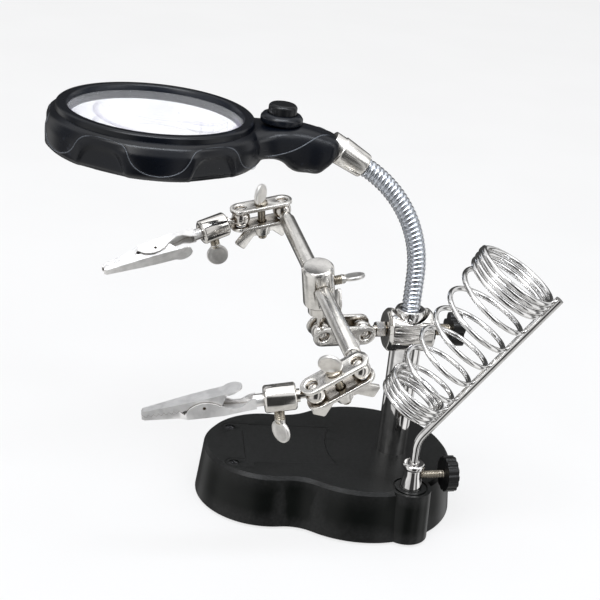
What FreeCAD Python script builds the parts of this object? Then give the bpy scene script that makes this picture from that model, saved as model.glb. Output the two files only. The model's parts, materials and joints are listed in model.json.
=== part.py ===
import FreeCAD, Part
import math
import os

# Helping hands clamp with a magnifier lamp on a gooseneck and a soldering iron stand.
# Millimetres. The layout frame has the column's axis at x = y = 0 and the bench at z = 0, with
# +X from the clips towards the iron stand and +Y away from the user. The written parts are moved
# so that the middle of the whole object's box stands over the origin.

V = FreeCAD.Vector
UP = V(0, 0, 1)

# ---- base: a figure of eight on rubber feet ----
FOOT_HEIGHT = 1.0
BASE_TOP = 22.5
BASE_DRAFT = 2.4
BASE_WALL = 2.2
BASE_ROOF = 2.6
EDGE_DROP = 1.4
EDGE_INSET = 1.1
COLUMN_LOBE = (-12.5, 36.7)
CELL_LOBE = (-51.5, 27.0)
WAIST_RADIUS = 20.0
COVER_X = (-62.0, -28.0)
COVER_HALF = 15.5
COVER_THICK = 1.8
COVER_GAP = 0.15
COVER_SCREWS = ((-67.2, 12.9), (-66.9, -16.2))
CELL_RADIUS = 5.15
CELL_LENGTH = 44.5
CELL_CENTRE = (-39.0, 9.4)

# ---- column and barrel ----
COLUMN_RADIUS = 6.3
COLUMN_BORE = 4.8
COLUMN_TOP = 79.5
FERRULE_TOP = 87.0
BARREL_HEIGHT = 77.5
BARREL_RADIUS = 8.75
BARREL_HALF = 9.6
BARREL_YAW = 6.0
BARREL_BALL = 19.2
RUNNING_GAP = 0.06
LOBES = 5
FLUTES = 14
FLUTE_RADIUS = 1.0
FLUTE_DEPTH = 0.45
KNOB_RADIUS = 7.2
KNOB_THICK = 5.2

# ---- double ball clamps ----
BALL_RADIUS = 3.8
BALL_PITCH = 18.0
PLATE_END = 4.3
PLATE_GAP = 3.25
PLATE_THICK = 1.5
PLATE_HOLE = 2.1
NECK_RADIUS = 1.3
BOLT_RADIUS = 1.9
PADDLE_RADIUS = 4.4
PADDLE_THICK = 1.6
PADDLE_RISE = 3.9
WING_THICK = 0.75

# ---- arms: directions are (azimuth, elevation) in degrees ----
MID_CLAMP = (-164.4, 1.5)
MID_NORMAL = (-74.7, -12.1)
POST = (-122.0, 72.5)
POST_LENGTH = 23.6
ROD = (102.4, 12.7)
ROD_RADIUS = 3.2
ROD_UPPER = 53.2
ROD_LOWER = 51.6
SHOULDER = 7.6
SLEEVE_T_RADIUS = 6.25
SLEEVE_T_HALF = 9.0
SLEEVE_RADIUS = 5.0
SLEEVE_FACE = 6.9
SLEEVE_LENGTH = 11.5
SLEEVE_BORE = 2.6
HANDS = {
    "upper": dict(axis=(-164.3, -9.6), normal=(-132.1, 78.7), clip=(-157.0, -16.2), roll=120.0,
                  paddle=42.0, wing=12.0, thumb=22.0, grip=12.2),
    "lower": dict(axis=(-168.4, -29.0), normal=(-145.0, 62.7), clip=(-178.0, -9.5), roll=0.0,
                  paddle=-35.0, wing=-10.0, thumb=54.0, grip=13.6),
}

# ---- alligator clips, along x from the sleeve's face to the tip ----
CLIP_LENGTH = 44.3
CLIP_SINK = 1.2
CLIP_SHEET = 0.7
CLIP_PIVOT = (22.3, 1.5)
PIVOT_RADIUS = 1.1
TOOTH_START = 30.2
TOOTH_PITCH = 1.8
TOOTH_COUNT = 8
TOOTH_HEIGHT = 0.9
TOOTH_SLOPE = -0.07
TOOTH_LINE = 0.55
MEET_GAP = 0.12

# ---- gooseneck, in the plane y = 0 ----
NECK_OUTER = 3.75
NECK_STRAIGHT_TOP = 101.0
NECK_BEND_RADIUS = 50.0
NECK_BEND = 60.0
NECK_ROOT = 84.0
NECK_SPLITS = (0.0, 29.0)
NECK_LIP = 0.9

# ---- magnifier head ----
HEAD_CENTRE = V(-105.8, 0, 153.2)
HEAD_TILT = 1.9
LENS_RADIUS = 32.5
LENS_EDGE = (3.7, 6.3)
LENS_CROWN = 2.4
INSET_X = 17.5
INSET_RADIUS = 9.5
HEAD_SEAM = -0.8
HANDLE_END = 69.0
BUTTON_X = 46.6
BUTTON_RADIUS = 5.4
COLLAR_RADIUS = 8.0
COLLAR_BASE = 8.6
COLLAR_TOP = 11.6
BUTTON_TOP = 15.2

# ---- iron stand ----
STAND = V(3.1, -30.4, 0)
SOCKET_HEIGHT = 11.0
STAND_KNOB_FACE = 13.0
STAND_KNOB_THICK = 4.4
STAND_ROD = 1.65
STAND_BEND_HEIGHT = 40.0
STAND_BEND_RADIUS = 12.0
STAND_AZIMUTH = -14.0
STAND_ELEVATION = 56.8
STAND_REACH = 77.0
WIRE_RADIUS = 1.0
WELD_DEPTH = 0.15
COIL_OFFSET = 7.2
COIL_RADII = (11.3, 15.9)
COIL_STRETCHES = ((3.5, 7.6), (5.5, 53.0), (3.5, 8.0))
COIL_STEPS = 12

NODES = {}
PIVOTS = {}


# ---------------------------------------------------------------- helpers

def direction(azimuth, elevation):
    a = math.radians(azimuth)
    e = math.radians(elevation)
    return V(math.cos(e) * math.cos(a), math.cos(e) * math.sin(a), math.sin(e))


def square_to(vector, axis):
    """The unit vector nearest to vector that is square to axis."""
    result = vector - axis * vector.dot(axis)
    result.normalize()
    return result


def frame(origin, x_axis, z_hint):
    """A placement whose local x is x_axis and whose local z is z_hint made square to it."""
    x = V(x_axis)
    x.normalize()
    z = square_to(z_hint, x)
    return FreeCAD.Placement(origin, FreeCAD.Rotation(x, z.cross(x), z, "XZY"))


def upright(origin, z_axis, x_hint):
    """A placement whose local z is z_axis and whose local x is x_hint made square to it."""
    z = V(z_axis)
    z.normalize()
    x = square_to(x_hint, z)
    return FreeCAD.Placement(origin, FreeCAD.Rotation(x, z.cross(x), z, "ZXY"))


def put(shape, placement):
    result = shape.copy()
    result.Placement = placement.multiply(result.Placement)
    return result


def local(placement, *xyz):
    return placement.multVec(V(*xyz))


def turned(placement, *xyz):
    return placement.Rotation.multVec(V(*xyz))


def fuse(*shapes):
    return shapes[0].multiFuse(list(shapes[1:])).removeSplitter()


def cylinder(radius, length, base=V(0, 0, 0), axis=UP):
    return Part.makeCylinder(radius, length, base, axis)


def tube(outer, inner, length, base=V(0, 0, 0), axis=UP):
    return cylinder(outer, length, base, axis).cut(cylinder(inner, length, base, axis))


def revolved(points):
    """A solid of revolution about z from (radius, height) points."""
    wire = Part.makePolygon([V(r, 0, z) for r, z in points] + [V(points[0][0], 0, points[0][1])])
    return Part.Face(wire).revolve(V(0, 0, 0), UP, 360)


def prism_y(points, half_width):
    """A plate with an (x, z) outline, half_width each side of y = 0."""
    wire = Part.makePolygon([V(x, -half_width, z) for x, z in points + points[:1]])
    return Part.Face(wire).extrude(V(0, 2 * half_width, 0))


def prism_z(points, low, high):
    """A plate with an (x, y) outline from height low to high."""
    wire = Part.makePolygon([V(x, y, low) for x, y in points + points[:1]])
    return Part.Face(wire).extrude(V(0, 0, high - low))


def add(node, shape):
    NODES[node] = shape


def pivot(name, point, axis):
    PIVOTS[name] = (V(point), V(axis))


# ---------------------------------------------------------------- base

def base_outline(grow, height):
    """Two lobes joined by hollow waists; grow moves the outline outwards."""
    right_x, right_r = COLUMN_LOBE[0], COLUMN_LOBE[1] + grow
    left_x, left_r = CELL_LOBE[0], CELL_LOBE[1] + grow
    waist = WAIST_RADIUS - grow
    span = right_x - left_x
    along = ((left_r + waist) ** 2 - (right_r + waist) ** 2 + span ** 2) / (2 * span)
    across = math.sqrt((left_r + waist) ** 2 - along ** 2)
    waist_x = left_x + along
    right_touch = V(right_x + (waist_x - right_x) * right_r / (right_r + waist),
                    across * right_r / (right_r + waist), height)
    left_touch = V(left_x + along * left_r / (left_r + waist),
                   across * left_r / (left_r + waist), height)
    mirror = [V(point.x, -point.y, height) for point in (right_touch, left_touch)]
    far_waist = V(waist_x, across - waist, height)
    near_waist = V(waist_x, waist - across, height)
    edges = [
        Part.Arc(mirror[0], V(right_x + right_r, 0, height), right_touch).toShape(),
        Part.Arc(right_touch, far_waist, left_touch).toShape(),
        Part.Arc(left_touch, V(left_x - left_r, 0, height), mirror[1]).toShape(),
        Part.Arc(mirror[1], near_waist, mirror[0]).toShape(),
    ]
    return Part.Wire(edges)


def base_block(inset, low, high, crowned):
    """The base's body between two heights, with drafted sides and an eased upper edge."""
    def at(height, extra=0.0):
        share = (BASE_TOP - height) / (BASE_TOP - FOOT_HEIGHT)
        return base_outline(BASE_DRAFT * share - inset - extra, height)
    if not crowned:
        return Part.makeLoft([at(low), at(high)], True, True)
    walls = Part.makeLoft([at(low), at(high - EDGE_DROP)], True, True)
    eased = Part.makeLoft([at(high - EDGE_DROP), at(high, EDGE_INSET)], True, True)
    return fuse(walls, eased)


def cover_outline(grow):
    """The battery cover's plate: straight back and front, hollowed round the column."""
    low, high = COVER_X[0] - grow, COVER_X[1] + grow
    half = COVER_HALF + grow
    bulge = 3.2
    return Part.Wire([
        Part.LineSegment(V(high + bulge, half, 0), V(low, half, 0)).toShape(),
        Part.LineSegment(V(low, half, 0), V(low, -half, 0)).toShape(),
        Part.LineSegment(V(low, -half, 0), V(high + bulge, -half, 0)).toShape(),
        Part.Arc(V(high + bulge, -half, 0), V(high, 0, 0), V(high + bulge, half, 0)).toShape(),
    ])


def cover_plate(grow, low, high):
    plate = Part.Face(cover_outline(grow)).extrude(V(0, 0, high - low))
    plate.translate(V(0, 0, low))
    for x, y in COVER_SCREWS:
        ear = cylinder(3.2 + grow, high - low, V(x, y, low))
        neck = Part.makeBox(8, 6.4 + 2 * grow, high - low, V(x, y - 3.2 - grow, low))
        plate = plate.fuse(ear).fuse(neck)
    return plate.removeSplitter()


def feet_places():
    return ((-66, 12), (-66, -12), (4, 22), (4, -22))


def base_parts():
    roof = BASE_TOP - BASE_ROOF
    plate_top = FOOT_HEIGHT + 2.0
    shell = base_block(0, FOOT_HEIGHT, BASE_TOP, True)
    boss = Part.makeCone(9.2, 8.4, BASE_TOP - FOOT_HEIGHT, V(STAND.x, STAND.y, FOOT_HEIGHT))
    cavity = base_block(BASE_WALL, FOOT_HEIGHT, roof, False)
    socket_boss = cylinder(5.6, roof - plate_top, V(STAND.x, STAND.y, plate_top))
    column_boss = cylinder(9.0, roof - plate_top, V(0, 0, plate_top))
    shell = shell.fuse(boss).cut(cavity).fuse(socket_boss).fuse(column_boss)
    ring = tube(7.0, 6.2, 0.5, V(STAND.x, STAND.y, BASE_TOP - 0.5))
    shell = shell.cut(ring).cut(cylinder(COLUMN_RADIUS, 40, V(0, 0, 0)))
    shell = shell.cut(cylinder(2.6, 9, V(STAND.x, STAND.y, BASE_TOP - 9)))
    shell = shell.cut(cover_plate(COVER_GAP, BASE_TOP - COVER_THICK, BASE_TOP + 1))
    shell = shell.cut(cover_plate(-2.0, BASE_TOP - 4, BASE_TOP))
    for x, y in COVER_SCREWS:
        post = cylinder(2.9, roof - plate_top, V(x, y, plate_top))
        shell = shell.fuse(post).cut(cylinder(1.1, 12, V(x, y, BASE_TOP - COVER_THICK - 10)))
    add("base_shell", shell.removeSplitter())

    plate = base_block(BASE_WALL + 0.1, FOOT_HEIGHT, plate_top, False)
    plate = plate.cut(cylinder(2.6, 9, V(0, 0, 0)))

    cover = cover_plate(0, BASE_TOP - COVER_THICK, BASE_TOP - 0.05)
    screws = []
    for x, y in COVER_SCREWS:
        seat = BASE_TOP - 1.0
        cover = cover.cut(cylinder(2.1, 3, V(x, y, seat - 0.5))).cut(cylinder(1.2, 9, V(x, y, 15)))
        head = cylinder(2.0, 1.1, V(x, y, seat - 0.5))
        slot_a = Part.makeBox(2.4, 0.5, 0.6, V(x - 1.2, y - 0.25, seat + 0.05))
        slot_b = Part.makeBox(0.5, 2.4, 0.6, V(x - 0.25, y - 1.2, seat + 0.05))
        head = head.cut(slot_a).cut(slot_b)
        screws.append(fuse(head, cylinder(1.05, 7.5, V(x, y, seat - 8.0))))
    add("battery_cover", cover)

    feet = []
    for x, y in feet_places():
        feet.append(cylinder(5.5, FOOT_HEIGHT, V(x, y, 0)))
        screws.append(cylinder(1.2, 1.6, V(x * 0.9, y * 0.6, FOOT_HEIGHT + 0.2)))
    for x, y in feet_places():
        plate = plate.cut(cylinder(1.25, 2, V(x * 0.9, y * 0.6, FOOT_HEIGHT)))
    add("base_plate", plate)
    add("base_screws", Part.makeCompound(screws))
    add("rubber_feet", Part.makeCompound(feet))

    block = cylinder(24.0, 6.5, V(-8, 0, plate_top)).cut(cylinder(9.4, 8, V(0, 0, plate_top)))
    block = block.cut(cylinder(6.4, 8, V(STAND.x, STAND.y, plate_top)))
    block = block.cut(Part.makeBox(40, 60, 8, V(-54, -30, plate_top)))
    add("ballast_block", block)

    cell_x, cell_z = CELL_CENTRE
    cells = []
    contacts = []
    for row in (-1, 0, 1):
        start = V(cell_x - CELL_LENGTH / 2, row * 10.6, cell_z)
        can = cylinder(CELL_RADIUS, CELL_LENGTH - 1, start, V(1, 0, 0))
        nub = cylinder(1.8, 1, start + V(CELL_LENGTH - 1, 0, 0), V(1, 0, 0))
        cells.append(fuse(can, nub))
    for end in (-1, 1):
        x = cell_x + end * (CELL_LENGTH / 2 + 0.3) - 0.25
        contacts.append(Part.makeBox(0.5, 30, 8, V(x, -15, cell_z - 4)))
    add("aaa_cells", Part.makeCompound(cells))
    add("battery_contacts", Part.makeCompound(contacts))


def column_parts():
    column = tube(COLUMN_RADIUS, COLUMN_BORE, COLUMN_TOP - 3.0, V(0, 0, 3.0))
    plug = cylinder(COLUMN_BORE, 10, V(0, 0, 3.0)).cut(cylinder(2.45, 10, V(0, 0, 3.0)))
    add("column_tube", column.fuse(plug).removeSplitter())
    bolt = fuse(cylinder(2.4, 10.8, V(0, 0, 1.8)), cylinder(2.55, 1.0, V(0, 0, 1.1)))
    add("column_bolt", bolt)
    rim = FERRULE_TOP - 1.0
    ferrule = revolved([
        (COLUMN_BORE, COLUMN_TOP - 8), (COLUMN_BORE, COLUMN_TOP), (6.15, COLUMN_TOP), (6.15, rim),
        (5.7, FERRULE_TOP), (4.1, FERRULE_TOP), (4.1, NECK_ROOT - 0.5), (1.5, NECK_ROOT - 0.5),
        (1.5, COLUMN_TOP - 8)])
    add("neck_ferrule_lower", ferrule)


# ---------------------------------------------------------------- gooseneck

def neck_point(turn):
    """Point on the neck's centre line where it has turned by this many degrees."""
    a = math.radians(turn)
    return V(-NECK_BEND_RADIUS * (1 - math.cos(a)), 0,
             NECK_STRAIGHT_TOP + NECK_BEND_RADIUS * math.sin(a))


def neck_run(start, finish):
    """Centre line from one turn to another; start None begins at the ferrule."""
    if start is None:
        line = Part.LineSegment(V(0, 0, NECK_ROOT), neck_point(0)).toShape()
        if finish == 0:
            return Part.Wire([line])
        start = 0
        first = [line]
    else:
        first = []
    middle = neck_point((start + finish) / 2)
    return Part.Wire(first + [Part.Arc(neck_point(start), middle, neck_point(finish)).toShape()])


def swept_disc(path, radius):
    edge = path.Edges[0]
    origin = edge.valueAt(edge.FirstParameter)
    tangent = edge.tangentAt(edge.FirstParameter)
    disc = Part.Wire([Part.makeCircle(radius, origin, tangent)])
    return path.makePipeShell([disc], True, True)


def neck_parts():
    """Three lengths of gooseneck; each ends in a dome that turns in the next one's cup."""
    turns = (None, NECK_SPLITS[0] + 14.0, NECK_SPLITS[1] + 8.0, NECK_BEND)
    dome = NECK_OUTER - 0.02
    for index in (0, 1, 2):
        body = swept_disc(neck_run(turns[index], turns[index + 1]), NECK_OUTER)
        centre = neck_point(turns[index + 1])
        cap = Part.makeSphere(dome, centre)
        body = body.fuse(cap)
        if index > 0:
            below = neck_point(turns[index])
            axis = direction(180, 90 - turns[index])
            clear = cylinder(NECK_OUTER + 1, NECK_LIP + 1, below - axis, axis)
            body = body.cut(clear).cut(Part.makeSphere(NECK_OUTER + 0.02, below))
            pivot("neck_bend_%d" % index, below, V(0, -1, 0))
        add("gooseneck_%d" % (index + 1), body.removeSplitter())
    pivot("neck_swivel", V(0, 0, NECK_ROOT), UP)
    pivot("head_bend", neck_point(NECK_BEND), V(0, -1, 0))

    axis = direction(180, 90 - NECK_BEND)
    tip = neck_point(NECK_BEND)
    place = upright(tip, axis, V(0, 1, 0))
    start = NECK_LIP
    ferrule = revolved([
        (4.05, start), (4.75, start), (4.95, start + 0.8), (5.6, 12.2), (5.2, 12.8), (5.2, 17.0),
        (2.2, 17.0), (2.2, 6.0), (4.05, 4.5)])
    ferrule = ferrule.cut(Part.makeSphere(NECK_OUTER + 0.05))
    add("neck_ferrule_upper", put(ferrule, place))


# ---------------------------------------------------------------- magnifier head

def rounded_section(x, z, width, height, radius):
    """A rounded rectangle standing across x."""
    hw, hh = width / 2, height / 2
    box = Part.makeBox(1, width, height, V(x, -hw, z - hh))
    long_edges = [e for e in box.Edges if abs(e.tangentAt(e.FirstParameter).x) > 0.9]
    filleted = box.makeFillet(radius, long_edges)
    face = min(filleted.Faces, key=lambda f: f.CenterOfMass.x)
    return face.OuterWire


def handle_body(inset):
    sections = ((33.0, 0.4, 36, 13.2, 6), (44.0, 1.4, 26, 13.2, 6.0), (50.0, 1.0, 21, 14.4, 6.2),
                (57.0, -0.6, 18.5, 17.0, 6.6), (64.0, -1.4, 17.0, 16.0, 6.6),
                (HANDLE_END - inset, -0.8, 15.0, 13.0, 6.0))
    wires = []
    for x, z, width, height, radius in sections:
        size = 2 * inset
        wires.append(rounded_section(x, z, width - size, height - size, radius - inset))
    return Part.makeLoft(wires, True, False)


def head_parts():
    place = frame(HEAD_CENTRE, direction(0, -HEAD_TILT), UP)
    seat = LENS_RADIUS + 0.1
    ledge = LENS_EDGE[0] - 0.25
    outside = revolved([
        (31.2, -6.2), (33.0, -7.0), (38.6, -7.0), (41.0, -4.6), (41.0, 3.4), (38.8, 6.0),
        (35.2, 7.2), (35.2, 8.2), (seat + 0.2, 8.2), (seat, 8.0), (seat, ledge), (31.2, ledge)])
    hollow = revolved([(34.4, -5.2), (38.2, -5.2), (39.2, -4.2), (39.2, 3.0), (37.8, 4.8),
                       (34.4, 5.8)])
    handle = handle_body(0)
    handle = handle.cut(cylinder(36.0, 40, V(0, 0, -20)))
    handle_hollow = handle_body(1.9).cut(cylinder(37.0, 40, V(0, 0, -20)))
    collar_bore = cylinder(BUTTON_RADIUS + 0.3, 20, V(BUTTON_X, 0, 2.5))
    solid = outside.fuse(handle).cut(hollow).cut(handle_hollow).cut(collar_bore)
    neck_axis = direction(180, 90 - NECK_BEND)
    tip = neck_point(NECK_BEND)
    ferrule_hole = put(cylinder(5.22, 16.1, tip + neck_axis * 1.0, neck_axis), place.inverse())
    entry = put(cylinder(5.7, 12.0, tip + neck_axis * 1.0, neck_axis), place.inverse())
    solid = solid.cut(ferrule_hole).cut(entry)
    above = Part.makeBox(200, 100, 40, V(-100, -50, HEAD_SEAM + 0.03))
    below = Part.makeBox(200, 100, 40, V(-100, -50, HEAD_SEAM - 40.03))
    top = max(solid.common(above).Solids, key=lambda s: s.Volume)
    bottom = max(solid.common(below).Solids, key=lambda s: s.Volume)
    screws = []
    for x, y in ((-37.0, 0.0), (12.0, 35.0), (12.0, -35.0)):
        post = cylinder(1.9, 12.2, V(x, y, -6.6))
        hole = cylinder(0.95, 8, V(x, y, -6))
        head_hole = cylinder(1.8, 2.2, V(x, y, -8.0))
        top = top.fuse(post.common(above)).cut(hole)
        bottom = bottom.fuse(post.common(below)).cut(hole).cut(head_hole)
        screws.append(fuse(cylinder(1.7, 1.0, V(x, y, -6.8)), cylinder(0.9, 6.0, V(x, y, -5.9))))
    led_places = ((36.6, 9.0), (36.6, -9.0))
    board = tube(38.0, 34.6, 1.0, V(0, 0, -4.8)).common(Part.makeBox(12, 40, 3, V(30, -20, -5.5)))
    leds = []
    for x, y in led_places:
        bottom = bottom.cut(cylinder(1.9, 4, V(x, y, -8.5)))
        leds.append(fuse(cylinder(1.75, 2.1, V(x, y, -6.9)), Part.makeSphere(1.75, V(x, y, -6.9))))
    add("head_top_shell", put(top.removeSplitter(), place))
    add("head_bottom_shell", put(bottom.removeSplitter(), place))
    add("head_screws", put(Part.makeCompound(screws), place))
    add("led_board", put(board, place))
    add("leds", put(Part.makeCompound(leds), place))

    low, high = LENS_EDGE
    crown = (LENS_RADIUS ** 2 + LENS_CROWN ** 2) / (2 * LENS_CROWN)
    disc = cylinder(LENS_RADIUS, 12, V(0, 0, (low + high) / 2 - 6))
    upper = Part.makeSphere(crown, V(0, 0, high + LENS_CROWN - crown))
    lower = Part.makeSphere(crown, V(0, 0, low - LENS_CROWN + crown))
    lens = disc.common(upper).common(lower)
    middle = (low + high) / 2
    core = cylinder(INSET_RADIUS, 20, V(INSET_X, 0, -10))
    lens = lens.cut(cylinder(INSET_RADIUS + 0.02, 20, V(INSET_X, 0, -10)))
    add("main_lens", put(lens, place))
    bulge = 15.0
    half = 3.8
    upper = Part.makeSphere(bulge, V(INSET_X, 0, middle + half - bulge))
    lower = Part.makeSphere(bulge, V(INSET_X, 0, middle - half + bulge))
    add("inset_lens", put(core.common(upper).common(lower), place))

    collar = revolved([
        (BUTTON_RADIUS + 0.15, 5.4), (COLLAR_RADIUS - 1.5, 5.4), (COLLAR_RADIUS - 1.5, 6.2),
        (COLLAR_RADIUS, COLLAR_BASE), (COLLAR_RADIUS, COLLAR_TOP - 1.4),
        (COLLAR_RADIUS - 0.9, COLLAR_TOP - 0.3), (COLLAR_RADIUS - 1.8, COLLAR_TOP),
        (BUTTON_RADIUS + 0.15, COLLAR_TOP)])
    collar.translate(V(BUTTON_X, 0, 0))
    collar = collar.cut(top)
    add("button_collar", put(max(collar.Solids, key=lambda s: s.Volume), place))
    button = revolved([
        (0, 4.5), (BUTTON_RADIUS, 4.5), (BUTTON_RADIUS, BUTTON_TOP - 0.9),
        (BUTTON_RADIUS - 0.9, BUTTON_TOP), (0, BUTTON_TOP + 0.1)])
    button.translate(V(BUTTON_X, 0, 0))
    add("button", put(button, place))
    pivot("button_press", local(place, BUTTON_X, 0, BUTTON_TOP), turned(place, 0, 0, -1))


# ---------------------------------------------------------------- shared hardware

def star_knob(radius, thick):
    """A lobed knob along local x, starting at x = 0."""
    core = cylinder(radius * 0.72, thick, V(0, 0, 0), V(1, 0, 0))
    for lobe in range(LOBES):
        a = 2 * math.pi * lobe / LOBES
        centre = V(0, radius * 0.62 * math.cos(a), radius * 0.62 * math.sin(a))
        core = core.fuse(cylinder(radius * 0.38, thick, centre, V(1, 0, 0)))
    return core.removeSplitter()


def fluted_knob(radius, thick):
    """A round knob along local x with shallow finger flutes, starting at x = 0."""
    knob = cylinder(radius, thick, V(0, 0, 0), V(1, 0, 0))
    for flute in range(FLUTES):
        a = 2 * math.pi * flute / FLUTES
        reach = radius + FLUTE_RADIUS - FLUTE_DEPTH
        centre = V(0, reach * math.cos(a), reach * math.sin(a))
        knob = knob.cut(cylinder(FLUTE_RADIUS, thick, centre, V(1, 0, 0)))
    return knob


def paddle(shank_radius, shank_from, disc_centre, shank_to):
    """A flat round thumb grip on a shank along local z; the disc's faces look along y."""
    disc = cylinder(PADDLE_RADIUS, PADDLE_THICK, V(0, -PADDLE_THICK / 2, disc_centre), V(0, 1, 0))
    low, high = sorted((shank_from, shank_to))
    shank = cylinder(shank_radius, high - low, V(0, 0, low))
    return fuse(disc, shank)


def turned_about_z(shape, degrees):
    result = shape.copy()
    result.rotate(V(0, 0, 0), UP, degrees)
    return result


def clamp_plates():
    """Both plates of a ball clamp; the balls sit at x = -9 and +9, the bolt at the middle."""
    half = BALL_PITCH / 2
    plates = []
    for side in (-1, 1):
        low = PLATE_GAP if side > 0 else -PLATE_GAP - PLATE_THICK
        plate = Part.makeBox(BALL_PITCH, 2 * PLATE_END, PLATE_THICK, V(-half, -PLATE_END, low))
        for end in (-1, 1):
            plate = plate.fuse(cylinder(PLATE_END, PLATE_THICK, V(end * half, 0, low)))
        plate = plate.removeSplitter()
        for end in (-1, 1):
            plate = plate.cut(cylinder(PLATE_HOLE, PLATE_THICK, V(end * half, 0, low)))
            outer = low + PLATE_THICK if side > 0 else low
            sink = Part.makeCone(PLATE_HOLE, PLATE_HOLE + 0.5, 0.5, V(end * half, 0, outer - side * 0.5),
                                 V(0, 0, side))
            plate = plate.cut(sink)
        plate = plate.cut(cylinder(BOLT_RADIUS + 0.02, PLATE_THICK, V(0, 0, low)))
        plates.append(plate)
    return Part.makeCompound(plates)


def clamp_screw(turn):
    """Paddle-headed screw through both plates, head on the +z side."""
    outer = PLATE_GAP + PLATE_THICK
    screw = paddle(BOLT_RADIUS, outer + 0.5, outer + PADDLE_RISE, outer + 1.5)
    screw = screw.cut(Part.makeBox(12, 12, 6, V(-6, -6, outer + 0.5 - 6)))
    collar = cylinder(2.7, 0.9, V(0, 0, outer))
    shank = cylinder(BOLT_RADIUS, 2 * outer + 7.0, V(0, 0, -outer - 6.4))
    return turned_about_z(fuse(fuse(screw, collar), shank), turn)


def wing_nut(turn):
    """Wing nut against the -z plate."""
    outer = PLATE_GAP + PLATE_THICK + 0.05
    hub = Part.makeCone(3.7, 3.0, 4.4, V(0, 0, -outer), V(0, 0, -1))
    wing = [(1.6, -0.5), (7.4, -0.6), (8.6, -1.1), (13.0, -4.7), (12.9, -5.6), (9.8, -8.6),
            (9.0, -8.5), (4.6, -4.3), (1.6, -4.2)]
    nut = hub
    for side in (-1, 1):
        outline = [(side * x, z - outer) for x, z in wing]
        nut = nut.fuse(prism_y(outline, WING_THICK))
    nut = nut.cut(cylinder(BOLT_RADIUS + RUNNING_GAP, 8, V(0, 0, -outer), V(0, 0, -1)))
    return turned_about_z(nut.removeSplitter(), turn)


def ball_clamp(prefix, place, paddle_turn, wing_turn):
    add(prefix + "_clamp_plates", put(clamp_plates(), place))
    add(prefix + "_clamp_screw", put(clamp_screw(paddle_turn), place))
    add(prefix + "_wing_nut", put(wing_nut(wing_turn), place))
    pivot(prefix + "_wing_turn", local(place, 0, 0, 0), turned(place, 0, 0, -1))


def ball_stud(collar, shank):
    """Ball at the origin, its neck along +x, a collar (radius, from, to) and a shank (radius, to)."""
    wide, start, finish = collar
    thin, end = shank
    meet = math.sqrt(BALL_RADIUS ** 2 - NECK_RADIUS ** 2)
    ball = Part.Arc(V(-BALL_RADIUS, 0, 0), V(0, 0, BALL_RADIUS), V(meet, 0, NECK_RADIUS))
    corners = [V(meet, 0, NECK_RADIUS), V(start, 0, NECK_RADIUS), V(start, 0, wide),
               V(finish, 0, wide), V(finish, 0, thin), V(end, 0, thin), V(end, 0, 0),
               V(-BALL_RADIUS, 0, 0)]
    edges = [ball.toShape()]
    edges += [Part.LineSegment(a, b).toShape() for a, b in zip(corners, corners[1:])]
    return Part.Face(Part.Wire(edges)).revolve(V(0, 0, 0), V(1, 0, 0), 360)


# ---------------------------------------------------------------- barrel on the column

def barrel_parts():
    place = frame(V(0, 0, BARREL_HEIGHT), direction(BARREL_YAW, 0), UP)
    chamfer = 1.3
    body = revolved([
        (0, -BARREL_HALF), (BARREL_RADIUS - chamfer, -BARREL_HALF),
        (BARREL_RADIUS, -BARREL_HALF + chamfer), (BARREL_RADIUS, BARREL_HALF - chamfer),
        (BARREL_RADIUS - chamfer, BARREL_HALF), (0, BARREL_HALF)])
    body.rotate(V(0, 0, 0), V(0, 1, 0), 90)
    body = body.cut(cylinder(COLUMN_RADIUS + RUNNING_GAP, 40, V(0, 0, -20)))
    body = body.cut(Part.makeCone(COLUMN_RADIUS, 8.2, 9, V(0, 0, 2.2)))
    body = body.cut(cylinder(2.5, 20, V(0, 0, 0), V(1, 0, 0)))
    body = body.cut(cylinder(2.05, 20, V(0, 0, 0), V(-1, 0, 0)))
    add("barrel", put(body, place))

    screw = cylinder(2.44, 9.5, V(COLUMN_RADIUS + 0.5, 0, 0), V(1, 0, 0))
    knob = star_knob(KNOB_RADIUS, KNOB_THICK)
    knob.translate(V(17.2, 0, 0))
    knob = knob.cut(cylinder(2.44, 4, V(14, 0, 0), V(1, 0, 0)))
    screw = fuse(screw, cylinder(2.44, 2.5, V(15.5, 0, 0), V(1, 0, 0)))
    add("barrel_lock_screw", put(screw, place))
    add("barrel_lock_knob", put(knob, place))
    pivot("barrel_turn", V(0, 0, BARREL_HEIGHT), UP)
    pivot("barrel_knob_turn", local(place, 17, 0, 0), turned(place, 1, 0, 0))

    hexagon = [(2.9 * math.cos(math.radians(60 * k)) / math.cos(math.radians(30)),
                2.9 * math.sin(math.radians(60 * k)) / math.cos(math.radians(30)))
               for k in range(6)]
    hexagon = prism_z(hexagon, 0, 3.6)
    stud_place = frame(local(place, -BARREL_BALL, 0, 0), turned(place, 1, 0, 0), UP)
    stud = ball_stud((1.9, 4.9, 5.6), (2.0, 12.4))
    nut = put(hexagon, frame(V(5.55, 0, 0), V(0, 0, -1), V(1, 0, 0)))
    add("barrel_ball_stud", put(fuse(stud, nut), stud_place))
    pivot("barrel_stud_spin", stud_place.Base, turned(place, -1, 0, 0))
    return stud_place.Base


# ---------------------------------------------------------------- arms

def middle_clamp(ball):
    axis = direction(*MID_CLAMP)
    place = frame(ball + axis * (BALL_PITCH / 2), axis, direction(*MID_NORMAL))
    ball_clamp("middle", place, 0, 90)
    outer_ball = ball + axis * BALL_PITCH
    normal = turned(place, 0, 0, 1)
    pivot("middle_clamp_swing", ball, normal)
    pivot("post_swing", outer_ball, normal)
    return outer_ball


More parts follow.
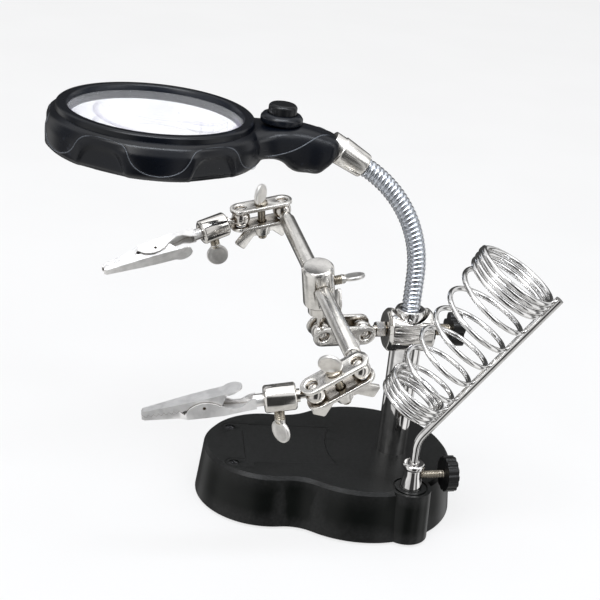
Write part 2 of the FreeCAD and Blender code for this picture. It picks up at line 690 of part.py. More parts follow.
def post_and_rod(ball):
    post_axis = direction(*POST)
    rod_axis = square_to(direction(*ROD), post_axis)
    crossing = ball + post_axis * POST_LENGTH
    low = POST_LENGTH - SLEEVE_T_HALF
    stud_place = frame(ball, post_axis, rod_axis)
    stud = ball_stud((4.6, low - 4.2, low - 0.05), (2.2, low + 4.0))
    add("post_ball_stud", put(stud, stud_place))
    pivot("post_spin", ball, post_axis)

    sleeve_place = upright(crossing, post_axis, rod_axis)
    half = SLEEVE_T_HALF
    sleeve = revolved([
        (0, -half), (SLEEVE_T_RADIUS - 0.8, -half), (SLEEVE_T_RADIUS, -half + 0.8),
        (SLEEVE_T_RADIUS, half - 1.3), (SLEEVE_T_RADIUS - 0.9, half - 0.2), (0, half - 0.2)])
    sleeve = sleeve.cut(cylinder(ROD_RADIUS + RUNNING_GAP, 30, V(-15, 0, 0), V(1, 0, 0)))
    sleeve = sleeve.cut(cylinder(2.2 + RUNNING_GAP, 5.0, V(0, 0, -half)))
    sleeve = sleeve.cut(cylinder(BOLT_RADIUS + RUNNING_GAP, 12, V(0, 0, 0), V(0, -1, 0)))
    add("t_sleeve", put(sleeve, sleeve_place))
    thumb_axis = turned(sleeve_place, 0, -1, 0)
    thumb_place = upright(crossing, thumb_axis, post_axis)
    thumb = paddle(BOLT_RADIUS, ROD_RADIUS + 0.15, 14.2, 11.2)
    add("t_thumbscrew", put(turned_about_z(thumb, 65), thumb_place))
    pivot("t_thumbscrew_turn", crossing, thumb_axis)
    pivot("rod_slide", crossing, rod_axis)

    rod_place = upright(crossing, rod_axis, post_axis)
    upper_face = ROD_UPPER - SHOULDER
    lower_face = SHOULDER - ROD_LOWER
    bevel = 0.7
    rod = revolved([
        (0, lower_face), (ROD_RADIUS - bevel, lower_face), (ROD_RADIUS, lower_face + bevel),
        (ROD_RADIUS, upper_face - bevel), (ROD_RADIUS - bevel, upper_face), (0, upper_face)])
    for start in (lower_face, upper_face - 6):
        rod = rod.cut(cylinder(1.5 + RUNNING_GAP, 6, V(0, 0, start)))
    add("cross_rod", put(rod, rod_place))
    ends = {}
    for name, reach, inward in (("upper", ROD_UPPER, -1), ("lower", -ROD_LOWER, 1)):
        end = crossing + rod_axis * reach
        inner = rod_axis * inward
        stud = ball_stud((2.6, SHOULDER - 1.6, SHOULDER - 0.05), (1.5, SHOULDER + 5))
        add(name + "_rod_ball", put(stud, frame(end, inner, post_axis)))
        pivot(name + "_rod_ball_spin", end, inner * -1)
        ends[name] = end
    return ends


def hand(name, ball):
    """Everything beyond one end of the rod: clamp, sleeve and alligator clip."""
    shape = HANDS[name]
    axis = direction(*shape["axis"])
    place = frame(ball + axis * (BALL_PITCH / 2), axis, direction(*shape["normal"]))
    normal = turned(place, 0, 0, 1)
    ball_clamp(name, place, shape["paddle"], shape["wing"])
    pivot(name + "_clamp_swing", ball, normal)
    outer = ball + axis * BALL_PITCH
    pivot(name + "_sleeve_swing", outer, normal)

    reach = direction(*shape["clip"])
    sleeve_place = frame(outer, reach, UP)
    stud = ball_stud((2.4, SLEEVE_FACE - 1.3, SLEEVE_FACE - 0.05), (1.9, SLEEVE_FACE + 3.0))
    add(name + "_sleeve_ball_stud", put(stud, sleeve_place))
    pivot(name + "_sleeve_spin", outer, reach)

    back = SLEEVE_FACE + SLEEVE_LENGTH
    bevel = 0.6
    sleeve = revolved([
        (0, SLEEVE_FACE), (SLEEVE_RADIUS - bevel, SLEEVE_FACE), (SLEEVE_RADIUS, SLEEVE_FACE + bevel),
        (SLEEVE_RADIUS, back - bevel), (SLEEVE_RADIUS - bevel, back), (0, back)])
    sleeve.rotate(V(0, 0, 0), V(0, 1, 0), 90)
    sleeve = sleeve.cut(cylinder(1.9 + RUNNING_GAP, 4, V(SLEEVE_FACE, 0, 0), V(1, 0, 0)))
    sleeve = sleeve.cut(cylinder(SLEEVE_BORE, 8, V(back - 7.5, 0, 0), V(1, 0, 0)))
    thumb_x = SLEEVE_FACE + 6.4
    sleeve = sleeve.cut(cylinder(BOLT_RADIUS + RUNNING_GAP, 10, V(thumb_x, 0, 0), V(0, 0, -1)))
    add(name + "_clip_sleeve", put(sleeve, sleeve_place))
    thumb = turned_about_z(paddle(BOLT_RADIUS, 2.45, shape["grip"], shape["grip"] - 3), shape["thumb"])
    thumb_place = upright(local(sleeve_place, thumb_x, 0, 0), turned(sleeve_place, 0, 0, -1), reach)
    add(name + "_sleeve_thumbscrew", put(thumb, thumb_place))
    pivot(name + "_thumbscrew_turn", thumb_place.Base, turned(sleeve_place, 0, 0, -1))

    lever_side = FreeCAD.Rotation(reach, -shape["roll"]).multVec(turned(sleeve_place, 0, 0, 1))
    clip_place = frame(local(sleeve_place, back - CLIP_SINK, 0, 0), reach, lever_side)
    add(name + "_clip_fixed_jaw", put(fixed_jaw(), clip_place))
    add(name + "_clip_moving_jaw", put(moving_jaw(), clip_place))
    add(name + "_clip_spring", put(clip_spring(), clip_place))
    pivot(name + "_jaw_open", local(clip_place, CLIP_PIVOT[0], 0, CLIP_PIVOT[1]),
          turned(clip_place, 0, -1, 0))


# ---------------------------------------------------------------- alligator clip

def tooth_line(offset):
    """The zigzag where the jaws meet, from the mouth to the tip."""
    points = []
    for tooth in range(TOOTH_COUNT):
        x = TOOTH_START + tooth * TOOTH_PITCH
        z = TOOTH_LINE + (x - TOOTH_START) * TOOTH_SLOPE + offset
        points.append((x, z - TOOTH_HEIGHT / 2))
        points.append((x + TOOTH_PITCH / 2, z + TOOTH_HEIGHT / 2))
    return points


def plan(stations):
    """A symmetric plan outline from (x, half width) stations."""
    far = [(x, half) for x, half in stations]
    near = [(x, -half) for x, half in reversed(stations)]
    return prism_z(far + near, -12, 12)


def fixed_jaw():
    """U-shaped jaw with ears at the pivot and a rolled tail held in the sleeve."""
    sheet = CLIP_SHEET
    ear = []
    ear_radius = 8.6
    for step in range(9):
        a = math.radians(38 - 76 * step / 8)
        ear.append((CLIP_PIVOT[0] + ear_radius * math.sin(a),
                    3.4 - ear_radius * (1 - math.cos(a))))
    near_tip = CLIP_LENGTH - 0.9
    side = [(4.0, -2.3), (22.0, -2.3), (near_tip, -1.75), (CLIP_LENGTH, -1.2), (CLIP_LENGTH, -0.6)]
    side += list(reversed(tooth_line(-MEET_GAP / 2)))
    side += [(TOOTH_START - 0.9, -0.4)] + ear + [(12.0, -0.4), (9.0, -0.2), (6.6, 1.2), (4.0, 1.9)]
    widths = [(4.0, 2.3), (8.0, 2.9), (15.5, 4.3), (28.5, 4.3), (31.0, 2.75), (CLIP_LENGTH, 1.5)]
    walls = prism_y(side, 6).common(plan(widths))
    inner = [(x, half - sheet) for x, half in widths]
    above = prism_y([(3, -2.3 + sheet), (22, -2.3 + sheet), (near_tip, -1.75 + sheet), (47, -1.0),
                     (47, 10), (3, 10)], 6)
    walls = walls.cut(plan(inner).common(above))
    tail = tube(2.3, 1.5, 11.0, V(-6.0, 0, 0), V(1, 0, 0))
    tail = tail.cut(Part.makeBox(14, 0.6, 3, V(-7, -0.3, 0.5)))
    jaw = walls.fuse(tail)
    x, z = CLIP_PIVOT
    for side_sign in (-1, 1):
        stub = cylinder(PIVOT_RADIUS, 1.7, V(x, side_sign * 3.8, z), V(0, -side_sign, 0))
        dimple = cylinder(0.6, 1.2, V(x, side_sign * 4.3, z), V(0, -side_sign, 0))
        jaw = jaw.fuse(stub).cut(dimple)
    return jaw.removeSplitter()


def moving_jaw():
    """Lever with a thumb pad, side walls inside the ears and the meeting teeth."""
    sheet = CLIP_SHEET
    side = tooth_line(MEET_GAP / 2)
    near_tip = CLIP_LENGTH - 0.7
    side += [(CLIP_LENGTH - 0.4, 0.2), (CLIP_LENGTH, 0.8), (near_tip, 1.6), (15.0, 5.45),
             (14.2, 4.6), (16.0, 1.4), (19.5, 0.0), (22.0, -0.5), (25.5, 0.0), (29.0, 0.9)]
    widths = [(14.0, 3.35), (22.0, 3.35), (28.5, 3.0), (31.0, 2.75), (CLIP_LENGTH, 1.5)]
    walls = prism_y(side, 6).common(plan(widths))
    inner = [(x, half - sheet) for x, half in widths]
    below = prism_y([(13, 5.7 - sheet), (15.0, 5.45 - sheet), (near_tip, 1.6 - sheet), (47, 0.6),
                     (47, -6), (13, -6)], 6)
    walls = walls.cut(plan(inner).common(below))
    pad_top = [(17.0, 5.19), (15.0, 5.45), (12.5, 6.1), (8.0, 6.9), (8.0, 6.9 - sheet),
               (12.5, 6.1 - sheet), (15.0, 5.45 - sheet), (17.0, 5.19 - sheet)]
    spoon = cylinder(4.1, 24, V(12.4, 0, -12))
    neck = plan([(12.0, 3.9), (15.5, 3.35), (17.0, 3.35)])
    pad = prism_y(pad_top, 6).common(spoon.fuse(neck))
    jaw = walls.fuse(pad)
    x, z = CLIP_PIVOT
    jaw = jaw.cut(cylinder(PIVOT_RADIUS + RUNNING_GAP, 12, V(x, -6, z), V(0, 1, 0)))
    return jaw.removeSplitter()


def clip_spring():
    """Torsion spring between the jaws, its legs pressing on the lever and on the floor."""
    x, z = CLIP_PIVOT
    shapes = []
    for turn in (-1, 0, 1):
        shapes.append(tube(1.75, 1.15, 0.62, V(x, turn * 0.6 - 0.31, z), V(0, 1, 0)))
    upper_leg = cylinder(0.3, 7.0, V(x, 0.6, z + 1.45), V(-1, 0, 0.2))
    lower_leg = cylinder(0.3, 7.0, V(x, -0.6, z - 1.45), V(-1, 0, -0.1))
    return fuse(*shapes, upper_leg, lower_leg)


# ---------------------------------------------------------------- iron stand

def stand_socket_parts():
    bottom = BASE_TOP
    socket = revolved([
        (STAND_ROD + RUNNING_GAP, bottom - 8), (2.55, bottom - 8), (2.55, bottom), (4.5, bottom),
        (4.4, bottom + 0.8), (3.6, bottom + 5.4), (3.5, bottom + 8.4), (4.4, bottom + 9.3),
        (4.4, bottom + SOCKET_HEIGHT - 0.6), (3.9, bottom + SOCKET_HEIGHT),
        (STAND_ROD + RUNNING_GAP, bottom + SOCKET_HEIGHT)])
    axis = direction(8, 0)
    height = bottom + 5.4
    hole = cylinder(1.55 + RUNNING_GAP, 8, V(0, 0, height), axis)
    socket = socket.cut(hole)
    socket.translate(STAND)
    add("stand_socket", socket)
    start = STAND + V(0, 0, height)
    screw_start = STAND_ROD + 0.15
    seat = 1.0
    screw = cylinder(1.55, STAND_KNOB_FACE + seat - screw_start, start + axis * screw_start, axis)
    knob = fluted_knob(KNOB_RADIUS, STAND_KNOB_THICK)
    knob = put(knob, frame(start + axis * STAND_KNOB_FACE, axis, UP))
    knob = knob.cut(cylinder(1.55, seat, start + axis * STAND_KNOB_FACE, axis))
    add("stand_knob_screw", screw)
    add("stand_knob", knob)
    pivot("stand_knob_turn", start, axis)
    pivot("stand_swivel", start, UP)


def stand_rod_path():
    """Straight up from the socket, round one bend, then up along the coil."""
    turn = math.radians(90 - STAND_ELEVATION)
    out = direction(STAND_AZIMUTH, 0)
    lean = direction(STAND_AZIMUTH, STAND_ELEVATION)
    foot = STAND + V(0, 0, BASE_TOP - 7)
    bend = STAND + V(0, 0, STAND_BEND_HEIGHT)
    centre = bend + out * STAND_BEND_RADIUS
    middle = centre + (UP * math.sin(turn / 2) - out * math.cos(turn / 2)) * STAND_BEND_RADIUS
    leave = centre + (UP * math.sin(turn) - out * math.cos(turn)) * STAND_BEND_RADIUS
    return foot, bend, middle, leave, leave + lean * STAND_REACH


def coil_place(slope):
    """Coil axis upwards as z; x points from the axis to the rod that the turns are welded to."""
    lean = direction(STAND_AZIMUTH, STAND_ELEVATION)
    rise = square_to(UP, lean)
    s = math.radians(slope)
    axis = lean * math.cos(s) + rise * math.sin(s)
    to_rod = lean * math.sin(s) - rise * math.cos(s)
    leave = stand_rod_path()[3]
    touch = leave + lean * COIL_OFFSET + rise * (STAND_ROD + WIRE_RADIUS - WELD_DEPTH)
    return upright(touch - to_rod * COIL_RADII[0], axis, to_rod)


def coil_points():
    """Points along the wire's centre line in the coil's own placement, left-handed, widening."""
    total = sum(rise for turns, rise in COIL_STRETCHES)
    points = []
    height = 0.0
    turned_by = 0.0
    for turns, rise in COIL_STRETCHES:
        steps = round(turns * COIL_STEPS)
        for step in range(steps):
            share = step / steps
            points.append((turned_by + turns * share, height + rise * share))
        height += rise
        turned_by += turns
    points.append((turned_by, total))
    centre_line = []
    for turn, z in points:
        radius = COIL_RADII[0] + (COIL_RADII[1] - COIL_RADII[0]) * z / total
        a = -2 * math.pi * turn
        centre_line.append(V(radius * math.cos(a), radius * math.sin(a), z))
    return centre_line


def coil_wire():
    """A cone of wire: close turns, spread turns, close turns, as one smooth sweep."""
    total = sum(rise for turns, rise in COIL_STRETCHES)
    slope = math.degrees(math.atan((COIL_RADII[1] - COIL_RADII[0]) / total))
    curve = Part.BSplineCurve()
    curve.interpolate(coil_points())
    edge = curve.toShape()
    start = edge.FirstParameter
    disc = Part.Wire([Part.makeCircle(WIRE_RADIUS, edge.valueAt(start), edge.tangentAt(start))])
    wire = Part.Wire([edge]).makePipeShell([disc], True, True)
    return put(wire, coil_place(slope))


def stand_parts():
    foot, bend, middle, leave, tip = stand_rod_path()
    path = Part.Wire([
        Part.LineSegment(foot, bend).toShape(),
        Part.Arc(bend, middle, leave).toShape(),
        Part.LineSegment(leave, tip).toShape(),
    ])
    add("stand_rod", swept_disc(path, STAND_ROD))
    add("stand_coil", coil_wire())


# ---------------------------------------------------------------- whole object

def build():
    base_parts()
    column_parts()
    neck_parts()
    head_parts()
    stand_socket_parts()
    stand_parts()
    ends = post_and_rod(middle_clamp(barrel_parts()))
    for name, end in ends.items():
        hand(name, end)


def shift_to_origin():
    """The move that brings the middle of the whole box over the origin, bench at z = 0."""
    box = FreeCAD.BoundBox()
    for shape in NODES.values():
        box.add(shape.optimalBoundingBox(False))
    return V(-(box.XMin + box.XMax) / 2, -(box.YMin + box.YMax) / 2, -box.ZMin)


build()
SHIFT = shift_to_origin()
os.makedirs("parts", exist_ok=True)
for node, shape in NODES.items():
    shape.translate(SHIFT)
    shape.exportStep(f"parts/{node}.step")
    print(f"{node}: {len(shape.Solids)} solids, valid {shape.isValid()}, {shape.Volume:.1f} mm3")
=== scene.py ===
import json
import math

import bpy
import numpy as np
from mathutils import Matrix, Vector


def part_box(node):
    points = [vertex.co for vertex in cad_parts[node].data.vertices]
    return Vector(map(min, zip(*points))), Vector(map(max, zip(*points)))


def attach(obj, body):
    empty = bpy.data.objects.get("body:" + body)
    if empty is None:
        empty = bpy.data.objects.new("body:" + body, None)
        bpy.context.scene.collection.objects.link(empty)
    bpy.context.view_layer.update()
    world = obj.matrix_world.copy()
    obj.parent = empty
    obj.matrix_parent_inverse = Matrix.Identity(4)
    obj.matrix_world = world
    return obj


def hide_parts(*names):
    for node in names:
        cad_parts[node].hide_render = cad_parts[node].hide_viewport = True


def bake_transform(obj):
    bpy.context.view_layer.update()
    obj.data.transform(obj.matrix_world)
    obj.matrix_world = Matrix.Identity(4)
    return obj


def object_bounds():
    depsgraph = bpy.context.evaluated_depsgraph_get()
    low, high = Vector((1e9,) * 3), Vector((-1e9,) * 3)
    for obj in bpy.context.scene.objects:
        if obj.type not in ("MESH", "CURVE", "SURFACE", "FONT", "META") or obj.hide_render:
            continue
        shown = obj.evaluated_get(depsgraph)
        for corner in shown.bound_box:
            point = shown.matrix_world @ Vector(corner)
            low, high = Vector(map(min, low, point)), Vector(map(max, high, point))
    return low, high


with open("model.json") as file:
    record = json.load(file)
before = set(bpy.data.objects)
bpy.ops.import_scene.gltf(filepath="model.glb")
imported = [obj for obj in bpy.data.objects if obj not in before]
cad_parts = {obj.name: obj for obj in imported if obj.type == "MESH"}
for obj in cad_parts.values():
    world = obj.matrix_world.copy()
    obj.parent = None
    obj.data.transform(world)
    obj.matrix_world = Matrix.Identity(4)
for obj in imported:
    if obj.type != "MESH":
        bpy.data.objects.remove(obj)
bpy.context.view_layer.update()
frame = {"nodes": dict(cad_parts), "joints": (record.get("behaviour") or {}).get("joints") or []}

MM = 0.001
NODES = frame["nodes"]
JOINTS = {j["name"]: j for j in frame["joints"]}
SLOT_OF = {name: o.material_slots[0].material.name.split(".")[0] for name, o in NODES.items()}


def spot(joint):
    """Where a joint turns, in metres."""
    return Vector(JOINTS[joint]["pos_m"])


def line(joint):
    """A joint's axis."""
    return Vector(JOINTS[joint]["axis"]).normalized()


def middle(node):
    low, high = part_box(node)
    return (low + high) / 2


COLUMN = middle("column_tube")
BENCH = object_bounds()[0].z


# ---------------------------------------------------------------- camera, floor and light

def make_camera():
    right = Vector((0.99102682, -0.09277794, 0.09621896))
    up = Vector((-0.05152017, 0.39909219, 0.91546223))
    ahead = Vector((0.12333493, 0.91220485, -0.39073113))
    data = bpy.data.cameras.new("camera")
    data.lens = 78.6
    data.sensor_width = 36
    data.clip_start = 0.02
    data.clip_end = 20
    camera = bpy.data.objects.new("camera", data)
    bpy.context.scene.collection.objects.link(camera)
    turn = Matrix((right, up, -ahead)).transposed().to_4x4()
    place = Vector((COLUMN.x - 0.10898, COLUMN.y - 0.47373, BENCH + 0.29082))
    camera.matrix_world = Matrix.Translation(place) @ turn
    bpy.context.scene.camera = camera


def tree_of(owner):
    owner.use_nodes = True
    owner.node_tree.nodes.clear()
    return owner.node_tree


def node(tree, kind, links=None, **values):
    """Adds a shader node; values set its properties or inputs, links feed its inputs."""
    made = tree.nodes.new(kind)
    for key, value in values.items():
        if hasattr(made, key):
            setattr(made, key, value)
        else:
            made.inputs[key.replace("_", " ")].default_value = value
    for key, source in (links or {}).items():
        tree.links.new(source, made.inputs[key])
    return made


def ramp(tree, source, stops, smooth="EASE"):
    made = tree.nodes.new("ShaderNodeValToRGB")
    made.color_ramp.interpolation = smooth
    parts = made.color_ramp.elements
    while len(parts) < len(stops):
        parts.new(0.5)
    for part, (place, value) in zip(parts, stops):
        part.position = place
        part.color = (*value, 1) if isinstance(value, tuple) else (value, value, value, 1)
    tree.links.new(source, made.inputs["Fac"])
    return made.outputs["Color"]


def make_world():
    """A grey studio with soft boxes and dark gaps round the object, for the metal to reflect."""
    world = bpy.data.worlds.new("studio")
    bpy.context.scene.world = world
    tree = tree_of(world)
    place = node(tree, "ShaderNodeTexCoord")
    split = node(tree, "ShaderNodeSeparateXYZ", {"Vector": place.outputs["Generated"]})
    turn = node(tree, "ShaderNodeMath", {0: split.outputs["X"], 1: split.outputs["Y"]},
                operation="ARCTAN2")
    share = node(tree, "ShaderNodeMapRange", {"Value": turn.outputs[0]})
    share.inputs["From Min"].default_value = -math.pi
    share.inputs["From Max"].default_value = math.pi
    walls = ramp(tree, share.outputs[0], [
        (0.0, 0.05), (0.05, 0.05), (0.08, 0.80), (0.24, 1.0), (0.275, 0.22), (0.32, 0.20),
        (0.345, 0.80), (0.38, 0.80), (0.41, 0.09), (0.50, 0.07), (0.59, 0.09), (0.62, 0.90),
        (0.67, 0.90), (0.70, 0.20), (0.73, 0.20), (0.755, 1.1), (0.83, 1.1), (0.855, 0.10),
        (0.885, 0.10), (0.91, 0.80), (0.93, 0.80), (0.955, 0.05), (1.0, 0.05)])
    made = None
    for low, high, colour in ((0.10, 0.20, walls), (0.76, 0.84, (0.98, 0.985, 1.0, 1))):
        height = node(tree, "ShaderNodeMapRange", {"Value": split.outputs["Z"]})
        height.inputs["From Min"].default_value = low * 2 - 1
        height.inputs["From Max"].default_value = high * 2 - 1
        mix = node(tree, "ShaderNodeMix", data_type="RGBA")
        tree.links.new(height.outputs[0], mix.inputs[0])
        if made is None:
            mix.inputs[6].default_value = (0.72, 0.715, 0.70, 1)
        else:
            tree.links.new(made, mix.inputs[6])
        if isinstance(colour, tuple):
            mix.inputs[7].default_value = colour
        else:
            tree.links.new(colour, mix.inputs[7])
        made = mix.outputs[2]
    back = node(tree, "ShaderNodeBackground", {"Color": made}, Strength=0.95)
    node(tree, "ShaderNodeOutputWorld", {"Surface": back.outputs[0]})


FLOOR_HALF = 4.0
DOME_RADIUS = 3.6
DOME_TOP = 1.5


def make_floor():
    mesh = bpy.data.meshes.new("floor")
    corners = [(COLUMN.x + FLOOR_HALF * i, COLUMN.y + FLOOR_HALF * j, BENCH - 0.0001)
               for i, j in ((-1, -1), (1, -1), (1, 1), (-1, 1))]
    mesh.from_pydata(corners, [], [(0, 1, 2, 3)])
    floor = bpy.data.objects.new("floor", mesh)
    bpy.context.scene.collection.objects.link(floor)
    paint = bpy.data.materials.new("floor_paper")
    tree = tree_of(paint)
    place = node(tree, "ShaderNodeTexCoord")
    cloud = node(tree, "ShaderNodeTexNoise", {"Vector": place.outputs["Object"]}, Scale=9.0)
    tint = ramp(tree, cloud.outputs["Fac"],
                [(0.3, (0.145, 0.145, 0.147)), (0.7, (0.155, 0.155, 0.157))])
    shade = node(tree, "ShaderNodeBsdfPrincipled", {"Base Color": tint}, Roughness=0.8)
    shade.inputs["Specular IOR Level"].default_value = 0.0
    shade.inputs["Emission Color"].default_value = (1.0, 1.0, 1.0, 1)
    shade.inputs["Emission Strength"].default_value = 0.75
    node(tree, "ShaderNodeOutputMaterial", {"Surface": shade.outputs[0]})
    mesh.materials.append(paint)
    floor.visible_glossy = False


def make_backdrop():
    """A pale dome behind everything, seen by the camera only."""
    turns = np.linspace(0, 2 * math.pi, 64, endpoint=False)
    rings = []
    for rise in np.linspace(0, DOME_TOP, 14):
        reach = DOME_RADIUS * math.cos(rise)
        height = BENCH - 0.01 + DOME_RADIUS * math.sin(rise)
        rings.append([(COLUMN.x + reach * math.cos(a), COLUMN.y + reach * math.sin(a), height)
                      for a in turns])
    points, faces = tube_mesh(rings)
    mesh = bpy.data.meshes.new("backdrop")
    mesh.from_pydata([tuple(p) for p in points], [], faces)
    mesh.shade_smooth()
    paper = bpy.data.materials.new("backdrop_paper")
    tree = tree_of(paper)
    shade = node(tree, "ShaderNodeBsdfPrincipled", {}, Roughness=0.9)
    shade.inputs["Base Color"].default_value = (0.0, 0.0, 0.0, 1)
    shade.inputs["Specular IOR Level"].default_value = 0.0
    shade.inputs["Emission Color"].default_value = (1.0, 1.0, 1.0, 1)
    shade.inputs["Emission Strength"].default_value = 0.88
    node(tree, "ShaderNodeOutputMaterial", {"Surface": shade.outputs[0]})
    mesh.materials.append(paper)
    dome = bpy.data.objects.new("backdrop", mesh)
    bpy.context.scene.collection.objects.link(dome)
    dome.visible_diffuse = False
    dome.visible_glossy = False
    dome.visible_shadow = False


def area_light(name, place, target, size, power, tint=(1, 1, 1), tall=None):
    data = bpy.data.lights.new(name, "AREA")
    data.shape = "RECTANGLE"
    data.size = size
    data.size_y = tall or size
    data.energy = power
    data.color = tint
    lamp = bpy.data.objects.new(name, data)
    lamp.location = place
    aim = Vector(target) - Vector(place)
    lamp.rotation_euler = aim.to_track_quat("-Z", "Y").to_euler()
    bpy.context.scene.collection.objects.link(lamp)


def make_lights():
    centre = Vector((COLUMN.x - 0.05, COLUMN.y, BENCH + 0.08))
    area_light("key", centre + Vector((-0.50, -0.60, 0.85)), centre, 0.55, 3.6, (1, 0.995, 0.985))
    area_light("fill", centre + Vector((0.80, -0.55, 0.70)), centre, 0.5, 1.8, (0.97, 0.985, 1))
    area_light("strip", centre + Vector((0.0, -0.42, 1.05)), centre, 1.0, 9.5, (0.88, 0.93, 1), 0.2)
    area_light("over", centre + Vector((0, 0.15, 1.2)), centre, 1.0, 2.4)


# ---------------------------------------------------------------- materials

CLOUD_SHADE = 0.82
# Tint of the painted shade that darkens metal in gaps and inner corners.
NOOK_SHADE = (0.30, 0.25, 0.19)


def metal(name, colour, rough, spread=0.06, grain=4200, lift=0.008, stretch=(1, 1, 1),
          nook=0.0, bare=1.0):
    """Bare or plated metal: clouded tint, polished and duller patches, fine tool grain.

    nook is the reach, in metres, of the painted shade: colour darkened to a brown by ambient
    occlusion in gaps and inner corners; bare is how far the surface is bright metal rather than dull
    plating.
    """
    made = bpy.data.materials.new(name)
    tree = tree_of(made)
    place = node(tree, "ShaderNodeTexCoord")
    scaled = node(tree, "ShaderNodeMapping", {"Vector": place.outputs["Object"]})
    scaled.inputs["Scale"].default_value = stretch
    cloud = node(tree, "ShaderNodeTexNoise", {"Vector": place.outputs["Object"]}, Scale=260.0,
                 Detail=3.0)
    tint = ramp(tree, cloud.outputs["Fac"],
                [(0.30, tuple(c * CLOUD_SHADE for c in colour)), (0.62, tuple(colour))])
    # Painted shade: ambient occlusion darkens the colour to a brown in gaps and inner corners.
    if nook:
        shelter = node(tree, "ShaderNodeAmbientOcclusion", {}, Distance=nook, samples=6)
        open_air = ramp(tree, shelter.outputs["AO"], [(0.18, 0.0), (0.72, 1.0)], "LINEAR")
        both = node(tree, "ShaderNodeMix", {}, data_type="RGBA")
        tree.links.new(open_air, both.inputs[0])
        both.inputs[6].default_value = (*(c * k for c, k in zip(colour, NOOK_SHADE)), 1)
        tree.links.new(tint, both.inputs[7])
        tint = both.outputs[2]
    fine = node(tree, "ShaderNodeTexNoise", {"Vector": scaled.outputs[0]}, Scale=float(grain),
                Detail=4.0)
    patch = node(tree, "ShaderNodeTexNoise", {"Vector": scaled.outputs[0]}, Scale=480.0, Detail=5.0)
    gloss = node(tree, "ShaderNodeMapRange", {"Value": patch.outputs["Fac"]})
    gloss.inputs["To Min"].default_value = max(rough - spread, 0.02)
    gloss.inputs["To Max"].default_value = rough + spread
    bump = node(tree, "ShaderNodeBump", {"Height": fine.outputs["Fac"]}, Strength=lift,
                Distance=0.0002)
    shade = node(tree, "ShaderNodeBsdfPrincipled",
                 {"Base Color": tint, "Roughness": gloss.outputs[0], "Normal": bump.outputs[0]},
                 Metallic=bare)
    node(tree, "ShaderNodeOutputMaterial", {"Surface": shade.outputs[0]})
    return made


def plastic(name, colour, rough, spread=0.06, grain=2600, lift=0.12, worn=(0.05, 0.05, 0.055),
            gleam=0.3):
    """Moulded plastic: fine eroded grain, faint clouding, corners rubbed paler."""
    made = bpy.data.materials.new(name)
    tree = tree_of(made)
    place = node(tree, "ShaderNodeTexCoord")
    cloud = node(tree, "ShaderNodeTexNoise", {"Vector": place.outputs["Object"]}, Scale=70.0,
                 Detail=4.0)
    tint = ramp(tree, cloud.outputs["Fac"],
                [(0.32, tuple(c * 0.75 for c in colour)), (0.68, tuple(c * 1.2 for c in colour))])
    shape = node(tree, "ShaderNodeNewGeometry")
    edge = ramp(tree, shape.outputs["Pointiness"], [(0.515, 0.0), (0.56, 1.0)], "LINEAR")
    scuff = node(tree, "ShaderNodeTexNoise", {"Vector": place.outputs["Object"]}, Scale=900.0,
                 Detail=6.0)
    broken = node(tree, "ShaderNodeMath", {0: edge, 1: scuff.outputs["Fac"]}, operation="MULTIPLY")
    both = node(tree, "ShaderNodeMix", {}, data_type="RGBA")
    tree.links.new(broken.outputs[0], both.inputs[0])
    tree.links.new(tint, both.inputs[6])
    both.inputs[7].default_value = (*worn, 1)
    fine = node(tree, "ShaderNodeTexNoise", {"Vector": place.outputs["Object"]}, Scale=float(grain),
                Detail=3.0)
    gloss = node(tree, "ShaderNodeMapRange", {"Value": scuff.outputs["Fac"]})
    gloss.inputs["To Min"].default_value = max(rough - spread, 0.03)
    gloss.inputs["To Max"].default_value = rough + spread
    bump = node(tree, "ShaderNodeBump", {"Height": fine.outputs["Fac"]}, Strength=lift,
                Distance=0.0001)
    shade = node(tree, "ShaderNodeBsdfPrincipled",
                 {"Base Color": both.outputs[2], "Roughness": gloss.outputs[0],
                  "Normal": bump.outputs[0]})
    shade.inputs["Specular IOR Level"].default_value = gleam
    node(tree, "ShaderNodeOutputMaterial", {"Surface": shade.outputs[0]})
    return made


FADE_LENGTH = 9
ZONE_DEPTH = 0.06


